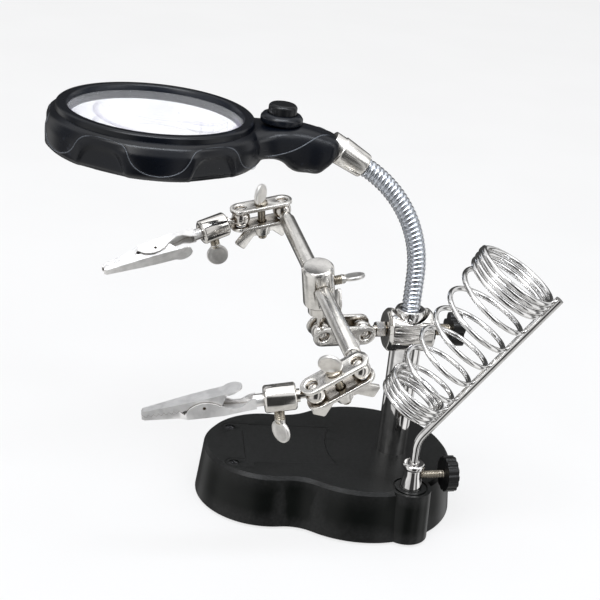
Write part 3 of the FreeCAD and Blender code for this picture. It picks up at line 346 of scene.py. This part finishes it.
def lens(name, centre, zone, rings):
    """Clear acrylic: nearly see-through, with painted reflections: the faint arcs its curved faces
    would show are painted into its colour and alpha.

    zone is (x, y, radius) of a region of painted grey reflection, rings are (x, y, radius, width,
    depth, fade) of painted reflection arcs. Lengths are in mm from the lens's middle, depth is a
    strength from 0 to 1, and fade is the y beyond which a ring dies away.
    """
    made = bpy.data.materials.new(name)
    tree = tree_of(made)
    place = node(tree, "ShaderNodeTexCoord")

    def distance(x, y):
        away = node(tree, "ShaderNodeVectorMath", {0: place.outputs["Object"]},
                    operation="SUBTRACT")
        away.inputs[1].default_value = (centre.x + x * MM, centre.y + y * MM, centre.z)
        flat = node(tree, "ShaderNodeVectorMath", {0: away.outputs[0]}, operation="MULTIPLY")
        flat.inputs[1].default_value = (1, 1, 0)
        span = node(tree, "ShaderNodeVectorMath", {0: flat.outputs[0]}, operation="LENGTH")
        return span.outputs["Value"]

    def between(value, low, high):
        step = node(tree, "ShaderNodeMapRange", {"Value": value}, interpolation_type="SMOOTHSTEP")
        step.inputs["From Min"].default_value = low
        step.inputs["From Max"].default_value = high
        return step.outputs[0]

    painted_reflection = None
    split = node(tree, "ShaderNodeSeparateXYZ", {"Vector": place.outputs["Object"]})
    for x, y, radius, width, depth, fade in rings:
        r = distance(x, y)
        inner = between(r, (radius - width) * MM, radius * MM)
        outer = between(r, (radius + width * 0.3) * MM, radius * MM)
        arc = node(tree, "ShaderNodeMath", {0: inner, 1: outer}, operation="MULTIPLY").outputs[0]
        near = between(split.outputs["Y"], centre.y + fade * MM,
                       centre.y + (fade - FADE_LENGTH) * MM)
        arc = node(tree, "ShaderNodeMath", {0: arc, 1: near}, operation="MULTIPLY").outputs[0]
        part = node(tree, "ShaderNodeMath", {0: arc}, operation="MULTIPLY")
        part.inputs[1].default_value = depth
        if painted_reflection is None:
            painted_reflection = part.outputs[0]
        else:
            painted_reflection = node(tree, "ShaderNodeMath", {0: painted_reflection, 1: part.outputs[0]},
                         operation="ADD").outputs[0]
    inside = between(distance(zone[0], zone[1]), (zone[2] + 0.3) * MM, (zone[2] - 0.9) * MM)
    shade_in = node(tree, "ShaderNodeMath", {0: inside}, operation="MULTIPLY")
    shade_in.inputs[1].default_value = ZONE_DEPTH
    painted_reflection = node(tree, "ShaderNodeMath", {0: painted_reflection, 1: shade_in.outputs[0]}, operation="ADD",
                 use_clamp=True).outputs[0]
    # Painted reflection: where the arcs and the greyer region add up, the colour darkens towards
    # violet-black and the alpha rises.
    tint = ramp(tree, painted_reflection, [(0.0, (0.96, 0.96, 0.975)), (0.25, (0.50, 0.48, 0.58)),
                              (1.0, (0.06, 0.055, 0.10))], "LINEAR")
    cover = node(tree, "ShaderNodeMapRange", {"Value": painted_reflection})
    cover.inputs["To Min"].default_value = 0.10
    cover.inputs["To Max"].default_value = 0.85
    wave = node(tree, "ShaderNodeTexNoise", {"Vector": place.outputs["Object"]}, Scale=45.0,
                Detail=2.0, Distortion=1.2)
    bump = node(tree, "ShaderNodeBump", {"Height": wave.outputs["Fac"]}, Strength=0.05,
                Distance=0.001)
    smear = node(tree, "ShaderNodeMapRange", {"Value": wave.outputs["Fac"]})
    smear.inputs["To Min"].default_value = 0.02
    smear.inputs["To Max"].default_value = 0.06
    shade = node(tree, "ShaderNodeBsdfPrincipled",
                 {"Base Color": tint, "Alpha": cover.outputs[0], "Roughness": smear.outputs[0],
                  "Normal": bump.outputs[0]})
    shade.inputs["IOR"].default_value = 1.49
    node(tree, "ShaderNodeOutputMaterial", {"Surface": shade.outputs[0]})
    return made


FINISH = {
    "black_shell": plastic("black_shell", (0.0022, 0.0028, 0.0024), 0.33, 0.03, 2600, 0.04,
                           (0.02, 0.02, 0.02), gleam=0.2),
    "head_shell": plastic("head_shell", (0.0012, 0.0020, 0.0042), 0.28, 0.02, 3200, 0.02,
                          (0.012, 0.015, 0.022), gleam=0.32),
    # Painted highlight: the parting-line beads are coloured far paler than the near-black shell they
    # belong to.
    "seam_shell": plastic("seam_shell", (0.075, 0.082, 0.095), 0.3, 0.04, 3200, 0.02,
                          (0.11, 0.115, 0.13)),
    "black_knob": plastic("black_knob", (0.003, 0.003, 0.0032), 0.30, 0.06, 2400, 0.08,
                          (0.02, 0.02, 0.02), gleam=0.35),
    "button_black": plastic("button_black", (0.0025, 0.0028, 0.0035), 0.30, 0.05, 2400, 0.05,
                            (0.02, 0.02, 0.022), gleam=0.3),
    "chromed_steel": metal("chromed_steel", (0.80, 0.79, 0.78), 0.055, 0.03, 5200, 0.004),
    "nickelled_steel": metal("nickelled_steel", (0.80, 0.775, 0.74), 0.13, 0.03, 4200, 0.005,
                             nook=0.008),
    "barrel_nickel": metal("barrel_nickel", (0.77, 0.75, 0.72), 0.10, 0.04, 4200, 0.010),
    "gooseneck_steel": metal("gooseneck_steel", (0.56, 0.59, 0.64), 0.13, 0.05, 4200, 0.010),
    "sheet_steel": metal("sheet_steel", (0.90, 0.89, 0.88), 0.36, 0.05, 3800, 0.01, (1, 3, 3),
                         nook=0.0025, bare=0.78),
    "spring_steel": metal("spring_steel", (0.42, 0.41, 0.40), 0.25, 0.08),
    "coil_wire": metal("coil_wire", (0.84, 0.835, 0.83), 0.08, 0.03, 5200, 0.004),
    "iron": metal("iron", (0.20, 0.19, 0.185), 0.55, 0.12, 1800, 0.3),
    "cast_nickel": metal("cast_nickel", (0.84, 0.825, 0.80), 0.42, 0.05, 4200, 0.008),
    "satin_nickel": metal("satin_nickel", (0.86, 0.84, 0.805), 0.25, 0.03, 4200, 0.005,
                          nook=0.008),
    "thread_steel": metal("thread_steel", (0.50, 0.46, 0.39), 0.24, 0.05, 4200, 0.01,
                          nook=0.008),
    "zinc_screw": metal("zinc_screw", (0.10, 0.10, 0.105), 0.32, 0.08),
    "cell_skin": plastic("cell_skin", (0.25, 0.05, 0.03), 0.35),
    "circuit_board": plastic("circuit_board", (0.02, 0.12, 0.05), 0.4),
    "led_white": plastic("led_white", (0.85, 0.86, 0.88), 0.15, 0.04, 2600, 0.02, (0.9, 0.9, 0.9)),
    # Both lenses carry painted reflections: a greyer region and dark arcs.
    "clear_lens": lens("clear_lens", middle("main_lens"), (-25, -60, 72), [
        (4.2, -3.2, 26.8, 2.6, 0.45, 8), (3.0, 7.0, 21.5, 1.0, 0.20, 6),
        (3.0, 7.0, 24.0, 0.7, 0.14, 6), (0, 0, 31.4, 2.4, 0.30, 0)]),
    "inset_glass": lens("inset_glass", middle("inset_lens"), (3, 1, 5.5), [
        (0, 0.6, 9.0, 2.4, 0.55, -1.0), (0.8, 0.6, 7.0, 0.8, 0.2, 3)]),
    "liner_white": plastic("liner_white", (0.90, 0.90, 0.92), 0.25, 0.04, 2600, 0.02,
                           (0.93, 0.93, 0.95)),
    "rubber": plastic("rubber", (0.012, 0.012, 0.012), 0.75, 0.08, 1800, 0.3),
}


# Nodes whose finish differs from their slot's.
NODE_FINISH = {
    "inset_lens": "inset_glass", "upper_wing_nut": "satin_nickel", "lower_wing_nut": "satin_nickel",
    "middle_wing_nut": "satin_nickel", "cross_rod": "satin_nickel", "t_sleeve": "satin_nickel",
    "neck_ferrule_upper": "satin_nickel", "upper_clamp_plates": "satin_nickel",
    "lower_clamp_plates": "satin_nickel", "middle_clamp_plates": "satin_nickel",
}


def dress(name):
    o = NODES[name]
    for slot in o.material_slots:
        slot.material = FINISH[NODE_FINISH.get(name, SLOT_OF[name])]


WELD_GAP = 1e-6
SPLIT_ANGLE = math.radians(32)
BEVEL_ANGLE = math.radians(38)
FLAT_ANGLE = math.radians(0.6)


def polish(name):
    """Smooth shading with kept sharp edges on a CAD node, by modifiers alone."""
    o = NODES[name]
    for polygon in o.data.polygons:
        polygon.use_smooth = True
    weld = o.modifiers.new("weld", "WELD")
    weld.merge_threshold = WELD_GAP
    split = o.modifiers.new("split", "EDGE_SPLIT")
    split.split_angle = SPLIT_ANGLE


def soften(name, width):
    """Rounds a CAD node's sharp edges with modifiers; its own mesh is left alone."""
    o = NODES[name]
    for polygon in o.data.polygons:
        polygon.use_smooth = True
    weld = o.modifiers.new("weld", "WELD")
    weld.merge_threshold = WELD_GAP
    flat = o.modifiers.new("flat", "DECIMATE")
    flat.decimate_type = "DISSOLVE"
    flat.angle_limit = FLAT_ANGLE
    bevel = o.modifiers.new("bevel", "BEVEL")
    bevel.limit_method = "ANGLE"
    bevel.angle_limit = BEVEL_ANGLE
    bevel.width = width * MM
    bevel.segments = 3
    bevel.use_clamp_overlap = False
    bevel.harden_normals = True


# ---------------------------------------------------------------- mesh helpers; local sizes in mm

def place_at(origin, z_axis, hint):
    """Matrix from local mm to the part frame: z along z_axis, x as near hint as it can be."""
    z = Vector(z_axis).normalized()
    x = (Vector(hint) - z * Vector(hint).dot(z)).normalized()
    y = z.cross(x)
    turn = Matrix((x, y, z)).transposed().to_4x4()
    return Matrix.Translation(origin) @ turn @ Matrix.Scale(MM, 4)


def any_side(axis):
    return Vector((1, 0, 0)) if abs(axis.x) < 0.8 else Vector((0, 1, 0))


def moved(matrix, points):
    m = np.array(matrix)
    return np.asarray(points, float) @ m[:3, :3].T + m[:3, 3]


def grid_faces(rows, columns, start=0, wrap_rows=False):
    """Quads of a grid of points whose columns close on themselves."""
    faces = []
    for i in range(rows if wrap_rows else rows - 1):
        for j in range(columns):
            a = start + i * columns
            b = start + ((i + 1) % rows) * columns
            faces.append((a + j, a + (j + 1) % columns, b + (j + 1) % columns, b + j))
    return faces


def tube_mesh(rings):
    """Closed mesh through rings of points of equal count, with a fan at each end."""
    rings = np.asarray(rings, float)
    rows, columns = rings.shape[:2]
    points = rings.reshape(-1, 3).tolist()
    faces = grid_faces(rows, columns)
    for ring, flip in ((0, False), (rows - 1, True)):
        hub = len(points)
        points.append(rings[ring].mean(0).tolist())
        for j in range(columns):
            pair = (ring * columns + j, ring * columns + (j + 1) % columns)
            faces.append((hub, *pair) if flip else (hub, *reversed(pair)))
    return points, faces


def joined(*meshes):
    points, faces = [], []
    for some_points, some_faces in meshes:
        shift = len(points)
        points += [tuple(p) for p in some_points]
        faces += [tuple(i + shift for i in face) for face in some_faces]
    return points, faces


def rounded(profile, radius, steps=4):
    """An open profile of (x, z) with its inner corners turned into arcs."""
    points = [Vector(p) for p in profile]
    made = [points[0]]
    for before, corner, after in zip(points, points[1:], points[2:]):
        a, b = before - corner, after - corner
        reach = min(radius, a.length * 0.45, b.length * 0.45)
        first, last = corner + a.normalized() * reach, corner + b.normalized() * reach
        for k in range(steps + 1):
            t = k / steps
            made.append(first * (1 - t) ** 2 + corner * 2 * t * (1 - t) + last * t ** 2)
    made.append(points[-1])
    return made


def lathe(profile, steps=56):
    """Closed turned shape about z from a profile of (radius, z)."""
    turns = np.linspace(0, 2 * math.pi, steps, endpoint=False)
    rings = [[(r * math.cos(a), r * math.sin(a), z) for a in turns] for r, z in profile]
    return tube_mesh(rings)


def hoop(profile, steps=160):
    """A closed (r, z) outline turned all the way round the z axis."""
    turns = np.linspace(0, 2 * math.pi, steps, endpoint=False)
    rows = np.array([np.c_[p.x * np.cos(turns), p.x * np.sin(turns), np.full(steps, p.y)]
                     for p in profile])
    return rows.reshape(-1, 3).tolist(), grid_faces(len(rows), steps, 0, True)


def thread(radius, low, high, pitch=0.7, depth=0.28, steps=28):
    """A threaded rod along z whose thread runs out at both ends."""
    turns = np.linspace(0, 2 * math.pi, steps, endpoint=False)
    rows = int((high - low) / pitch * 8)
    heights = np.linspace(low, high, rows + 1)
    rings = []
    for z in heights:
        fade = min(1.0, (z - low) / pitch, (high - z) / pitch)
        wave = np.abs(((z / pitch - turns / (2 * math.pi)) % 1.0) * 2 - 1)
        r = radius - depth * (1 - fade) - depth * fade * (1 - np.clip(wave * 1.25, 0, 1))
        rings.append(np.c_[r * np.cos(turns), r * np.sin(turns), np.full(steps, z)])
    return tube_mesh(rings)


def curve_through(xs, ys, x):
    """Smooth curve through points without overshoot."""
    xs, ys, x = (np.asarray(v, float) for v in (xs, ys, x))
    slope = np.diff(ys) / np.diff(xs)
    ends = np.r_[slope[0], (slope[1:] + slope[:-1]) / 2, slope[-1]]
    ends[1:-1][slope[1:] * slope[:-1] <= 0] = 0
    k = np.clip(np.searchsorted(xs, x) - 1, 0, len(xs) - 2)
    h = xs[k + 1] - xs[k]
    t = np.clip((x - xs[k]) / h, 0, 1)
    return (ys[k] * (2 * t**3 - 3 * t**2 + 1) + ends[k] * h * (t**3 - 2 * t**2 + t)
            + ys[k + 1] * (3 * t**2 - 2 * t**3) + ends[k + 1] * h * (t**3 - t**2))


def piece(name, shape, finish, matrix=None):
    points, faces = shape
    if matrix is not None:
        points = moved(matrix, points)
    mesh = bpy.data.meshes.new(name)
    mesh.from_pydata([tuple(p) for p in points], [], faces)
    mesh.materials.append(FINISH[finish])
    mesh.shade_smooth()
    made = bpy.data.objects.new(name, mesh)
    bpy.context.scene.collection.objects.link(made)
    return made


def apply_all(o):
    """Bakes an own piece's modifiers into its mesh."""
    deps = bpy.context.evaluated_depsgraph_get()
    mesh = bpy.data.meshes.new_from_object(o.evaluated_get(deps))
    o.modifiers.clear()
    o.data = mesh
    mesh.shade_smooth()


def melt(o, voxel, passes):
    """Merges overlapping solids into one soft casting."""
    blend = o.modifiers.new("melt", "REMESH")
    blend.mode = "VOXEL"
    blend.voxel_size = voxel * MM
    blend.use_smooth_shade = True
    ease = o.modifiers.new("ease", "SMOOTH")
    ease.factor = 0.5
    ease.iterations = passes


def crease(o, degrees):
    """Smooth shading that breaks at sharp edges."""
    o.data.set_sharp_from_angle(angle=math.radians(degrees))


# ---------------------------------------------------------------- gooseneck

NECK_PITCH = 1.9
NECK_OUTER = 3.75
NECK_SWEEP = math.radians(60)
BEAD_DEPTH = 0.95
GROOVE_FLOOR = 0.38


def make_gooseneck():
    bends = [spot(j) for j in ("neck_bend_1", "neck_bend_2", "head_bend")]
    bend_radius = 2 * (COLUMN.x - bends[2].x) / MM
    start_z = bends[2].z / MM - bend_radius * math.sin(NECK_SWEEP)
    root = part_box("gooseneck_1")[0].z / MM + 0.2
    straight = start_z - root

    def along(s):
        """Centre and forward direction at a distance from the root."""
        if s < straight:
            return (0.0, root + s), (0.0, 1.0)
        a = (s - straight) / bend_radius
        extra = max(a - NECK_SWEEP, 0.0) * bend_radius
        a = min(a, NECK_SWEEP)
        ahead = (-math.sin(a), math.cos(a))
        return ((-bend_radius * (1 - math.cos(a)) + ahead[0] * extra,
                 start_z + bend_radius * math.sin(a) + ahead[1] * extra), ahead)

    def distance(point):
        a = math.asin((point.z / MM - start_z) / bend_radius)
        return straight + a * bend_radius

    stations = [distance(b) for b in bends]
    cuts = [0.0, (stations[0] + stations[1]) / 2, (stations[1] + stations[2]) / 2,
            stations[2] + 3.4]
    turns = np.linspace(0, 2 * math.pi, 44, endpoint=False)
    for k in range(3):
        rows = int((cuts[k + 1] - cuts[k]) / NECK_PITCH * 12)
        rings = []
        for s in np.linspace(cuts[k], cuts[k + 1], rows + 1):
            (x, z), ahead = along(s)
            out = np.array((ahead[1], 0, -ahead[0]))
            phase = ((s / NECK_PITCH - turns / (2 * math.pi)) % 1.0) * 2 - 1
            bead = np.sqrt(np.clip(1 - (phase * 0.98) ** 2, 0, 1))
            r = NECK_OUTER - BEAD_DEPTH + np.maximum(BEAD_DEPTH * bead, GROOVE_FLOOR)
            centre = np.array((COLUMN.x / MM + x, COLUMN.y / MM, z))
            side = np.array((0, 1.0, 0))
            rings.append(centre + np.outer(r * np.cos(turns), out)
                         + np.outer(r * np.sin(turns), side))
        made = piece("gooseneck_coil_%d" % (k + 1), tube_mesh(rings), "gooseneck_steel",
                     Matrix.Scale(MM, 4))
        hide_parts("gooseneck_%d" % (k + 1))
        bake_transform(made)


# ---------------------------------------------------------------- magnifier head

RING_OUT = 41.0
RING_STEPS = 480
HANDLE_STEPS = 72
TONGUE_HALF = math.radians(17.7)
TONGUE_TURN = math.radians(2.8)
ARCH_HALF = math.radians(30) - TONGUE_HALF


def head_place():
    up = -line("button_press")
    lens_middle = middle("main_lens")
    return place_at(lens_middle - up * 5.0 * MM, up, middle("button") - lens_middle)


def seam_height(offset):
    """Height of the wavy parting line at an angle from the middle of a tongue."""
    return curve_through([0, 5.6, 11.2, 14.1, 16.3, 18.4, 22, 26, 30],
                         [-4.6, -4.05, -2.3, -0.15, 2.9, 4.4, 5.2, 5.6, 5.7],
                         np.degrees(np.abs(offset)))


def tongue_offset(angle):
    """Angle from the nearest tongue's middle; the first tongue faces -y."""
    return (angle - TONGUE_TURN + math.radians(120)) % math.radians(60) - math.radians(30)


def ring_radius(angle, z):
    """Outer radius of the moulded ring: round tongues between flats with a hollow arch."""
    offset = tongue_offset(angle)
    beside = math.radians(30) - np.abs(offset)
    flat = RING_OUT * math.cos(ARCH_HALF) / np.cos(np.minimum(beside, ARCH_HALF * 1.3))
    share = np.clip((5.2 - z) / 3.5, 0, 1)
    share = share * share * (3 - 2 * share)
    body = RING_OUT + (np.minimum(flat, RING_OUT) - RING_OUT) * share
    inside = np.clip((z - seam_height(offset)) / 0.6, 0, 1)
    tongue = inside * np.clip((math.radians(24) - np.abs(offset)) / math.radians(4), 0, 1)
    arch_top = 3.4 - 10.4 * (beside / (ARCH_HALF * 1.2)) ** 4
    hollow = np.clip((arch_top - z) / 3.0, 0, 1)
    hollow = hollow * hollow * (3 - 2 * hollow)
    return body - 0.25 + 0.25 * tongue - 1.0 * hollow


def ring_mesh():
    profile = rounded([(31.3, 3.5), (31.3, -6.2), (33.0, -7.0), (38.9, -7.0), (41.0, -5.0),
                       (41.0, 2.0), (39.2, 5.2), (36.9, 6.4), (33.4, 6.6), (33.4, 3.5)], 0.7, 3)
    fine = []
    for a, b in zip(profile, profile[1:] + profile[:1]):
        parts = max(1, round((b - a).length / 0.45))
        fine += [a + (b - a) * k / parts for k in range(parts)]
    angles = np.linspace(-math.pi, math.pi, RING_STEPS, endpoint=False)
    rows = []
    for p in fine:
        share = min(max((p.x - 37.0) / 3.0, 0.0), 1.0)
        r = p.x + share * (ring_radius(angles, np.full(RING_STEPS, p.y)) - RING_OUT)
        rows.append(np.c_[r * np.cos(angles), r * np.sin(angles), np.full(RING_STEPS, p.y)])
    rows = np.array(rows)
    return rows.reshape(-1, 3).tolist(), grid_faces(len(rows), RING_STEPS, 0, True)


def handle_mesh():
    """The handle: a squarish tube from inside the ring to a rounded end."""
    nose = np.sin(np.linspace(0, math.pi / 2, 14)[1:])
    xs = np.r_[np.linspace(33.5, 66, 66), 69.2 - 3.2 * (1 - nose)]
    wide = curve_through([33, 36, 40, 44, 50, 57, 64, 67, 69.2],
                         [19.0, 16.2, 13.4, 11.6, 10.2, 9.2, 8.6, 7.8, 5.4], xs)
    top = curve_through([33, 40, 46, 52, 56, 60, 64, 67, 68.6, 69.2],
                        [6.2, 7.0, 8.1, 8.2, 7.8, 7.1, 6.1, 5.1, 4.1, 3.0], xs)
    low = curve_through([33, 36.8, 40, 44, 48.3, 51, 53.5, 58, 62.6, 65, 67, 69.2],
                        [-6.6, -6.0, -5.1, -4.9, -6.0, -8.1, -9.3, -9.5, -9.3, -7.2, -5.0, -2.2], xs)
    turns = np.linspace(0, 2 * math.pi, HANDLE_STEPS, endpoint=False)
    power = 2 / 3.1
    across = np.sign(np.cos(turns)) * np.abs(np.cos(turns)) ** power
    upright = np.sign(np.sin(turns)) * np.abs(np.sin(turns)) ** power
    rings = [np.c_[np.full(HANDLE_STEPS, x), w * across, (t + b) / 2 + (t - b) / 2 * upright]
             for x, w, t, b in zip(xs, wide, top, low)]
    return tube_mesh(rings)


def bead_along(points, radius):
    """A thin round bead through points, thinner at its two ends."""
    points = np.asarray(points, float)
    ahead = np.roll(points, -1, 0) - np.roll(points, 1, 0)
    ahead[0], ahead[-1] = points[1] - points[0], points[-1] - points[-2]
    ahead /= np.linalg.norm(ahead, axis=1)[:, None]
    side = np.cross(ahead, (0, 0, 1.0))
    side /= np.linalg.norm(side, axis=1)[:, None]
    other = np.cross(side, ahead)
    turns = np.linspace(0, 2 * math.pi, 8, endpoint=False)
    index = np.arange(len(points))
    size = radius * np.clip(np.minimum(index, index[::-1]) / 6, 0.25, 1)
    around = (np.cos(turns)[None, :, None] * side[:, None]
              + np.sin(turns)[None, :, None] * other[:, None])
    return tube_mesh(points[:, None] + size[:, None, None] * around)


def make_head():
    place = head_place()
    shell = piece("head_shell", joined(ring_mesh(), handle_mesh()), "head_shell", place)
    melt(shell, 0.36, 9)
    apply_all(shell)
    lip = piece("head_lip", hoop(rounded([(32.6, 3.6), (33.6, 3.6), (36.9, 5.6), (36.7, 8.1),
                                          (35.9, 8.75), (33.3, 8.75), (32.6, 8.1)], 0.35, 4)),
                "head_shell", place)
    crease(lip, 50)
    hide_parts("head_top_shell")
    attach(lip, "head")
    liner = piece("lens_liner", hoop(rounded([(30.95, -6.3), (31.5, -6.6), (31.5, 3.45), (30.7, 3.5)],
                                             0.2, 2)), "liner_white", place)
    crease(liner, 50)
    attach(liner, "head")
    button_x = (place.inverted() @ middle("button")).x
    bore = piece("bore", lathe([(5.72, 2.6), (5.72, 14)], 64), "head_shell",
                 place @ Matrix.Translation((button_x, 0, 0)))
    cut = shell.modifiers.new("bore", "BOOLEAN")
    cut.operation = "DIFFERENCE"
    cut.object = bore
    cut.solver = "EXACT"
    apply_all(shell)
    bpy.data.objects.remove(bore)
    crease(shell, 50)
    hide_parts("head_top_shell", "head_bottom_shell")
    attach(shell, "head")

    bpy.context.view_layer.update()
    back = place.inverted()

    def on_shell(start, aim):
        """Where a ray from start towards aim meets the shell, or None."""
        begin = place @ Vector(start)
        hit, where, *_ = shell.ray_cast(begin, place @ Vector(aim) - begin)
        return back @ where if hit else None

    wavy = []
    for a in np.linspace(math.radians(21), math.radians(339), 560):
        z = float(seam_height(tongue_offset(np.array([a])))[0])
        way = Vector((math.cos(a), math.sin(a), 0))
        lift = math.radians(min(max((z - 2.4) * 16, 0), 52))
        aim = way * 36.5 + Vector((0, 0, min(z, 2.4)))
        found = on_shell(aim + (way * math.cos(lift) + Vector((0, 0, math.sin(lift)))) * 30, aim)
        if found is not None:
            beyond = abs(float(tongue_offset(np.array([a]))[0])) - math.radians(17)
            wavy.append(found - way * 0.3 * min(max(beyond / math.radians(6), 0), 1))
    ease = np.array(wavy)
    for _ in range(3):
        ease[1:-1] = (ease[:-2] + 2 * ease[1:-1] + ease[2:]) / 4
    # The parting-line bead is real geometry; its pale colour is a painted highlight.
    seam = piece("head_seam", bead_along(ease, 0.22), "seam_shell", place)
    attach(seam, "head")
    for side in (-1, 1):
        points = []
        for x in np.linspace(41.0, 65.0, 60):
            degrees = curve_through([41, 46, 52, 57, 61, 65], [-14, -10, 2, 22, 42, 60], x)
            turn = math.radians(float(degrees))
            aim = Vector((x, 0, 0.5))
            found = on_shell(aim + Vector((0, side * math.cos(turn), math.sin(turn))) * 30, aim)
            if found is not None:
                points.append(found)
        made = piece("handle_seam_%s" % ("left" if side > 0 else "right"),
                     bead_along(points, 0.24), "seam_shell", place)
        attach(made, "head")


# ---------------------------------------------------------------- screws and knobs

def thin_way(name, axis, origin, beyond):
    """Direction in which a flat grip is thinnest, from the node's own mesh."""
    points = np.array([v.co for v in NODES[name].data.vertices]) / MM
    reach = (points - np.array(origin) / MM) @ np.array(axis)
    far = points[reach > beyond]
    spread = far - far.mean(0)
    spread -= np.outer(spread @ np.array(axis), np.array(axis))
    values, ways = np.linalg.eigh(spread.T @ spread)
    order = [w for v, w in sorted(zip(values, ways.T), key=lambda p: p[0])
             if abs(w @ np.array(axis)) < 0.5]
    return Vector(order[0])


def grip(node_name, body, origin, axis, shank, disc, threads, extra=()):
    """A screw with a dished round thumb grip: cast grip and neck, rolled thread below.

    shank is (radius, low, high) and disc the height of the grip's middle, in mm along axis.
    """
    flat = thin_way(node_name, axis, origin, disc - 2)
    place = place_at(origin, axis, flat)
    radius, low, high = shank
    coin = lathe(rounded([(0, -0.56), (2.4, -0.60), (3.7, -0.80), (4.4, -0.62), (4.4, 0.62),
                          (3.7, 0.80), (2.4, 0.60), (0, 0.56)], 0.35, 3), 48)
    on_edge = place_at(Vector((0, 0, 0)), Vector((1, 0, 0)), Vector((0, 0, 1)))
    coin = (moved(on_edge, coin[0]) / MM + (0, 0, disc), coin[1])
    turns = np.linspace(0, 2 * math.pi, 36, endpoint=False)
    neck = []
    for t in np.linspace(0, 1, 12):
        ease = t * t * (3 - 2 * t)
        thin, wide = radius + (0.62 - radius) * ease, radius + (2.7 - radius) * ease
        neck.append(np.c_[thin * np.cos(turns), wide * np.sin(turns),
                          np.full(36, high - 2.2 + t * 3.2)])
    made = piece(node_name + "_grip", joined(coin, tube_mesh(neck)), "cast_nickel", place)
    melt(made, 0.15, 4)
    apply_all(made)
    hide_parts(node_name)
    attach(made, body)
    shapes = [thread(radius, a, b) for a, b in threads]
    if threads[0][0] > low + 0.1 or threads[-1][1] < high - 2.3:
        shapes.append(lathe([(0.01, low + 0.1), (radius - 0.3, low + 0.1), (radius - 0.3, high - 2.1),
                             (0.01, high - 2.1)], 36))
    for profile in extra:
        shapes.append(lathe(rounded(profile, 0.2, 3), 48))
    rod = piece(node_name + "_thread", joined(*shapes), "thread_steel", place)
    crease(rod, 40)
    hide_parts(node_name)
    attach(rod, body)


def make_screws():
    for name, disc in (("upper", 12.2), ("lower", 13.6)):
        joint = name + "_thumbscrew_turn"
        grip(name + "_sleeve_thumbscrew", name + "_thumbscrew", spot(joint), line(joint),
             (1.9, 2.45, disc - 3), disc, [(2.45, disc - 3.6)])
    grip("t_thumbscrew", "t_thumbscrew", spot("t_thumbscrew_turn"), line("t_thumbscrew_turn"),
         (1.9, 3.35, 11.2), 14.2, [(3.4, 10.6)])
    for name in ("upper", "lower", "middle"):
        joint = name + "_wing_turn"
        grip(name + "_clamp_screw", name + "_clamp", spot(joint), -line(joint),
             (1.9, -11.15, 6.2), 8.75, [(-11.15, -3.4)],
             [[(0.01, 4.77), (2.7, 4.77), (2.7, 5.5), (1.9, 5.8), (0.01, 5.8)]])
    axis = line("barrel_knob_turn")
    screw = piece("barrel_screw_thread", thread(2.44, 6.8, 18.0, 0.8, 0.3, 36), "thread_steel",
                  place_at(spot("barrel_knob_turn") - axis * 17 * MM, axis, any_side(axis)))
    crease(screw, 40)
    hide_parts("barrel_lock_screw")
    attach(screw, "barrel_knob")
    axis = line("stand_knob_turn")
    screw = piece("stand_screw_thread", thread(1.55, 1.8, 14.0, 0.7, 0.22, 32), "thread_steel",
                  place_at(spot("stand_knob_turn"), axis, any_side(axis)))
    crease(screw, 40)
    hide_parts("stand_knob_screw")
    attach(screw, "stand_knob")


# ---------------------------------------------------------------- everything

SOFT_EDGES = {
    "barrel": 0.35, "cross_rod": 0.2, "t_sleeve": 0.25, "stand_socket": 0.2, "column_tube": 0.2,
    "neck_ferrule_lower": 0.2, "neck_ferrule_upper": 0.2,
    "base_screws": 0.08, "button": 0.35, "button_collar": 0.35, "upper_clip_sleeve": 0.25,
    "lower_clip_sleeve": 0.25, "upper_clamp_plates": 0.28, "lower_clamp_plates": 0.28,
    "middle_clamp_plates": 0.28, "upper_wing_nut": 0.3, "lower_wing_nut": 0.3,
    "middle_wing_nut": 0.3,
}
POLISHED = ("post_ball_stud", "barrel_ball_stud", "upper_rod_ball", "lower_rod_ball",
            "upper_sleeve_ball_stud", "lower_sleeve_ball_stud", "upper_clip_fixed_jaw",
            "lower_clip_fixed_jaw", "upper_clip_moving_jaw", "lower_clip_moving_jaw")
CAST = ("barrel_lock_knob", "stand_knob")

make_camera()
make_world()
make_floor()
make_backdrop()
make_lights()
for part in NODES:
    dress(part)
for part, width in SOFT_EDGES.items():
    soften(part, width)
for part in POLISHED:
    polish(part)
for part in CAST:
    melt(NODES[part], 0.17, 5)
make_gooseneck()
make_head()
make_screws()

bpy.context.scene.view_settings.view_transform = "Standard"
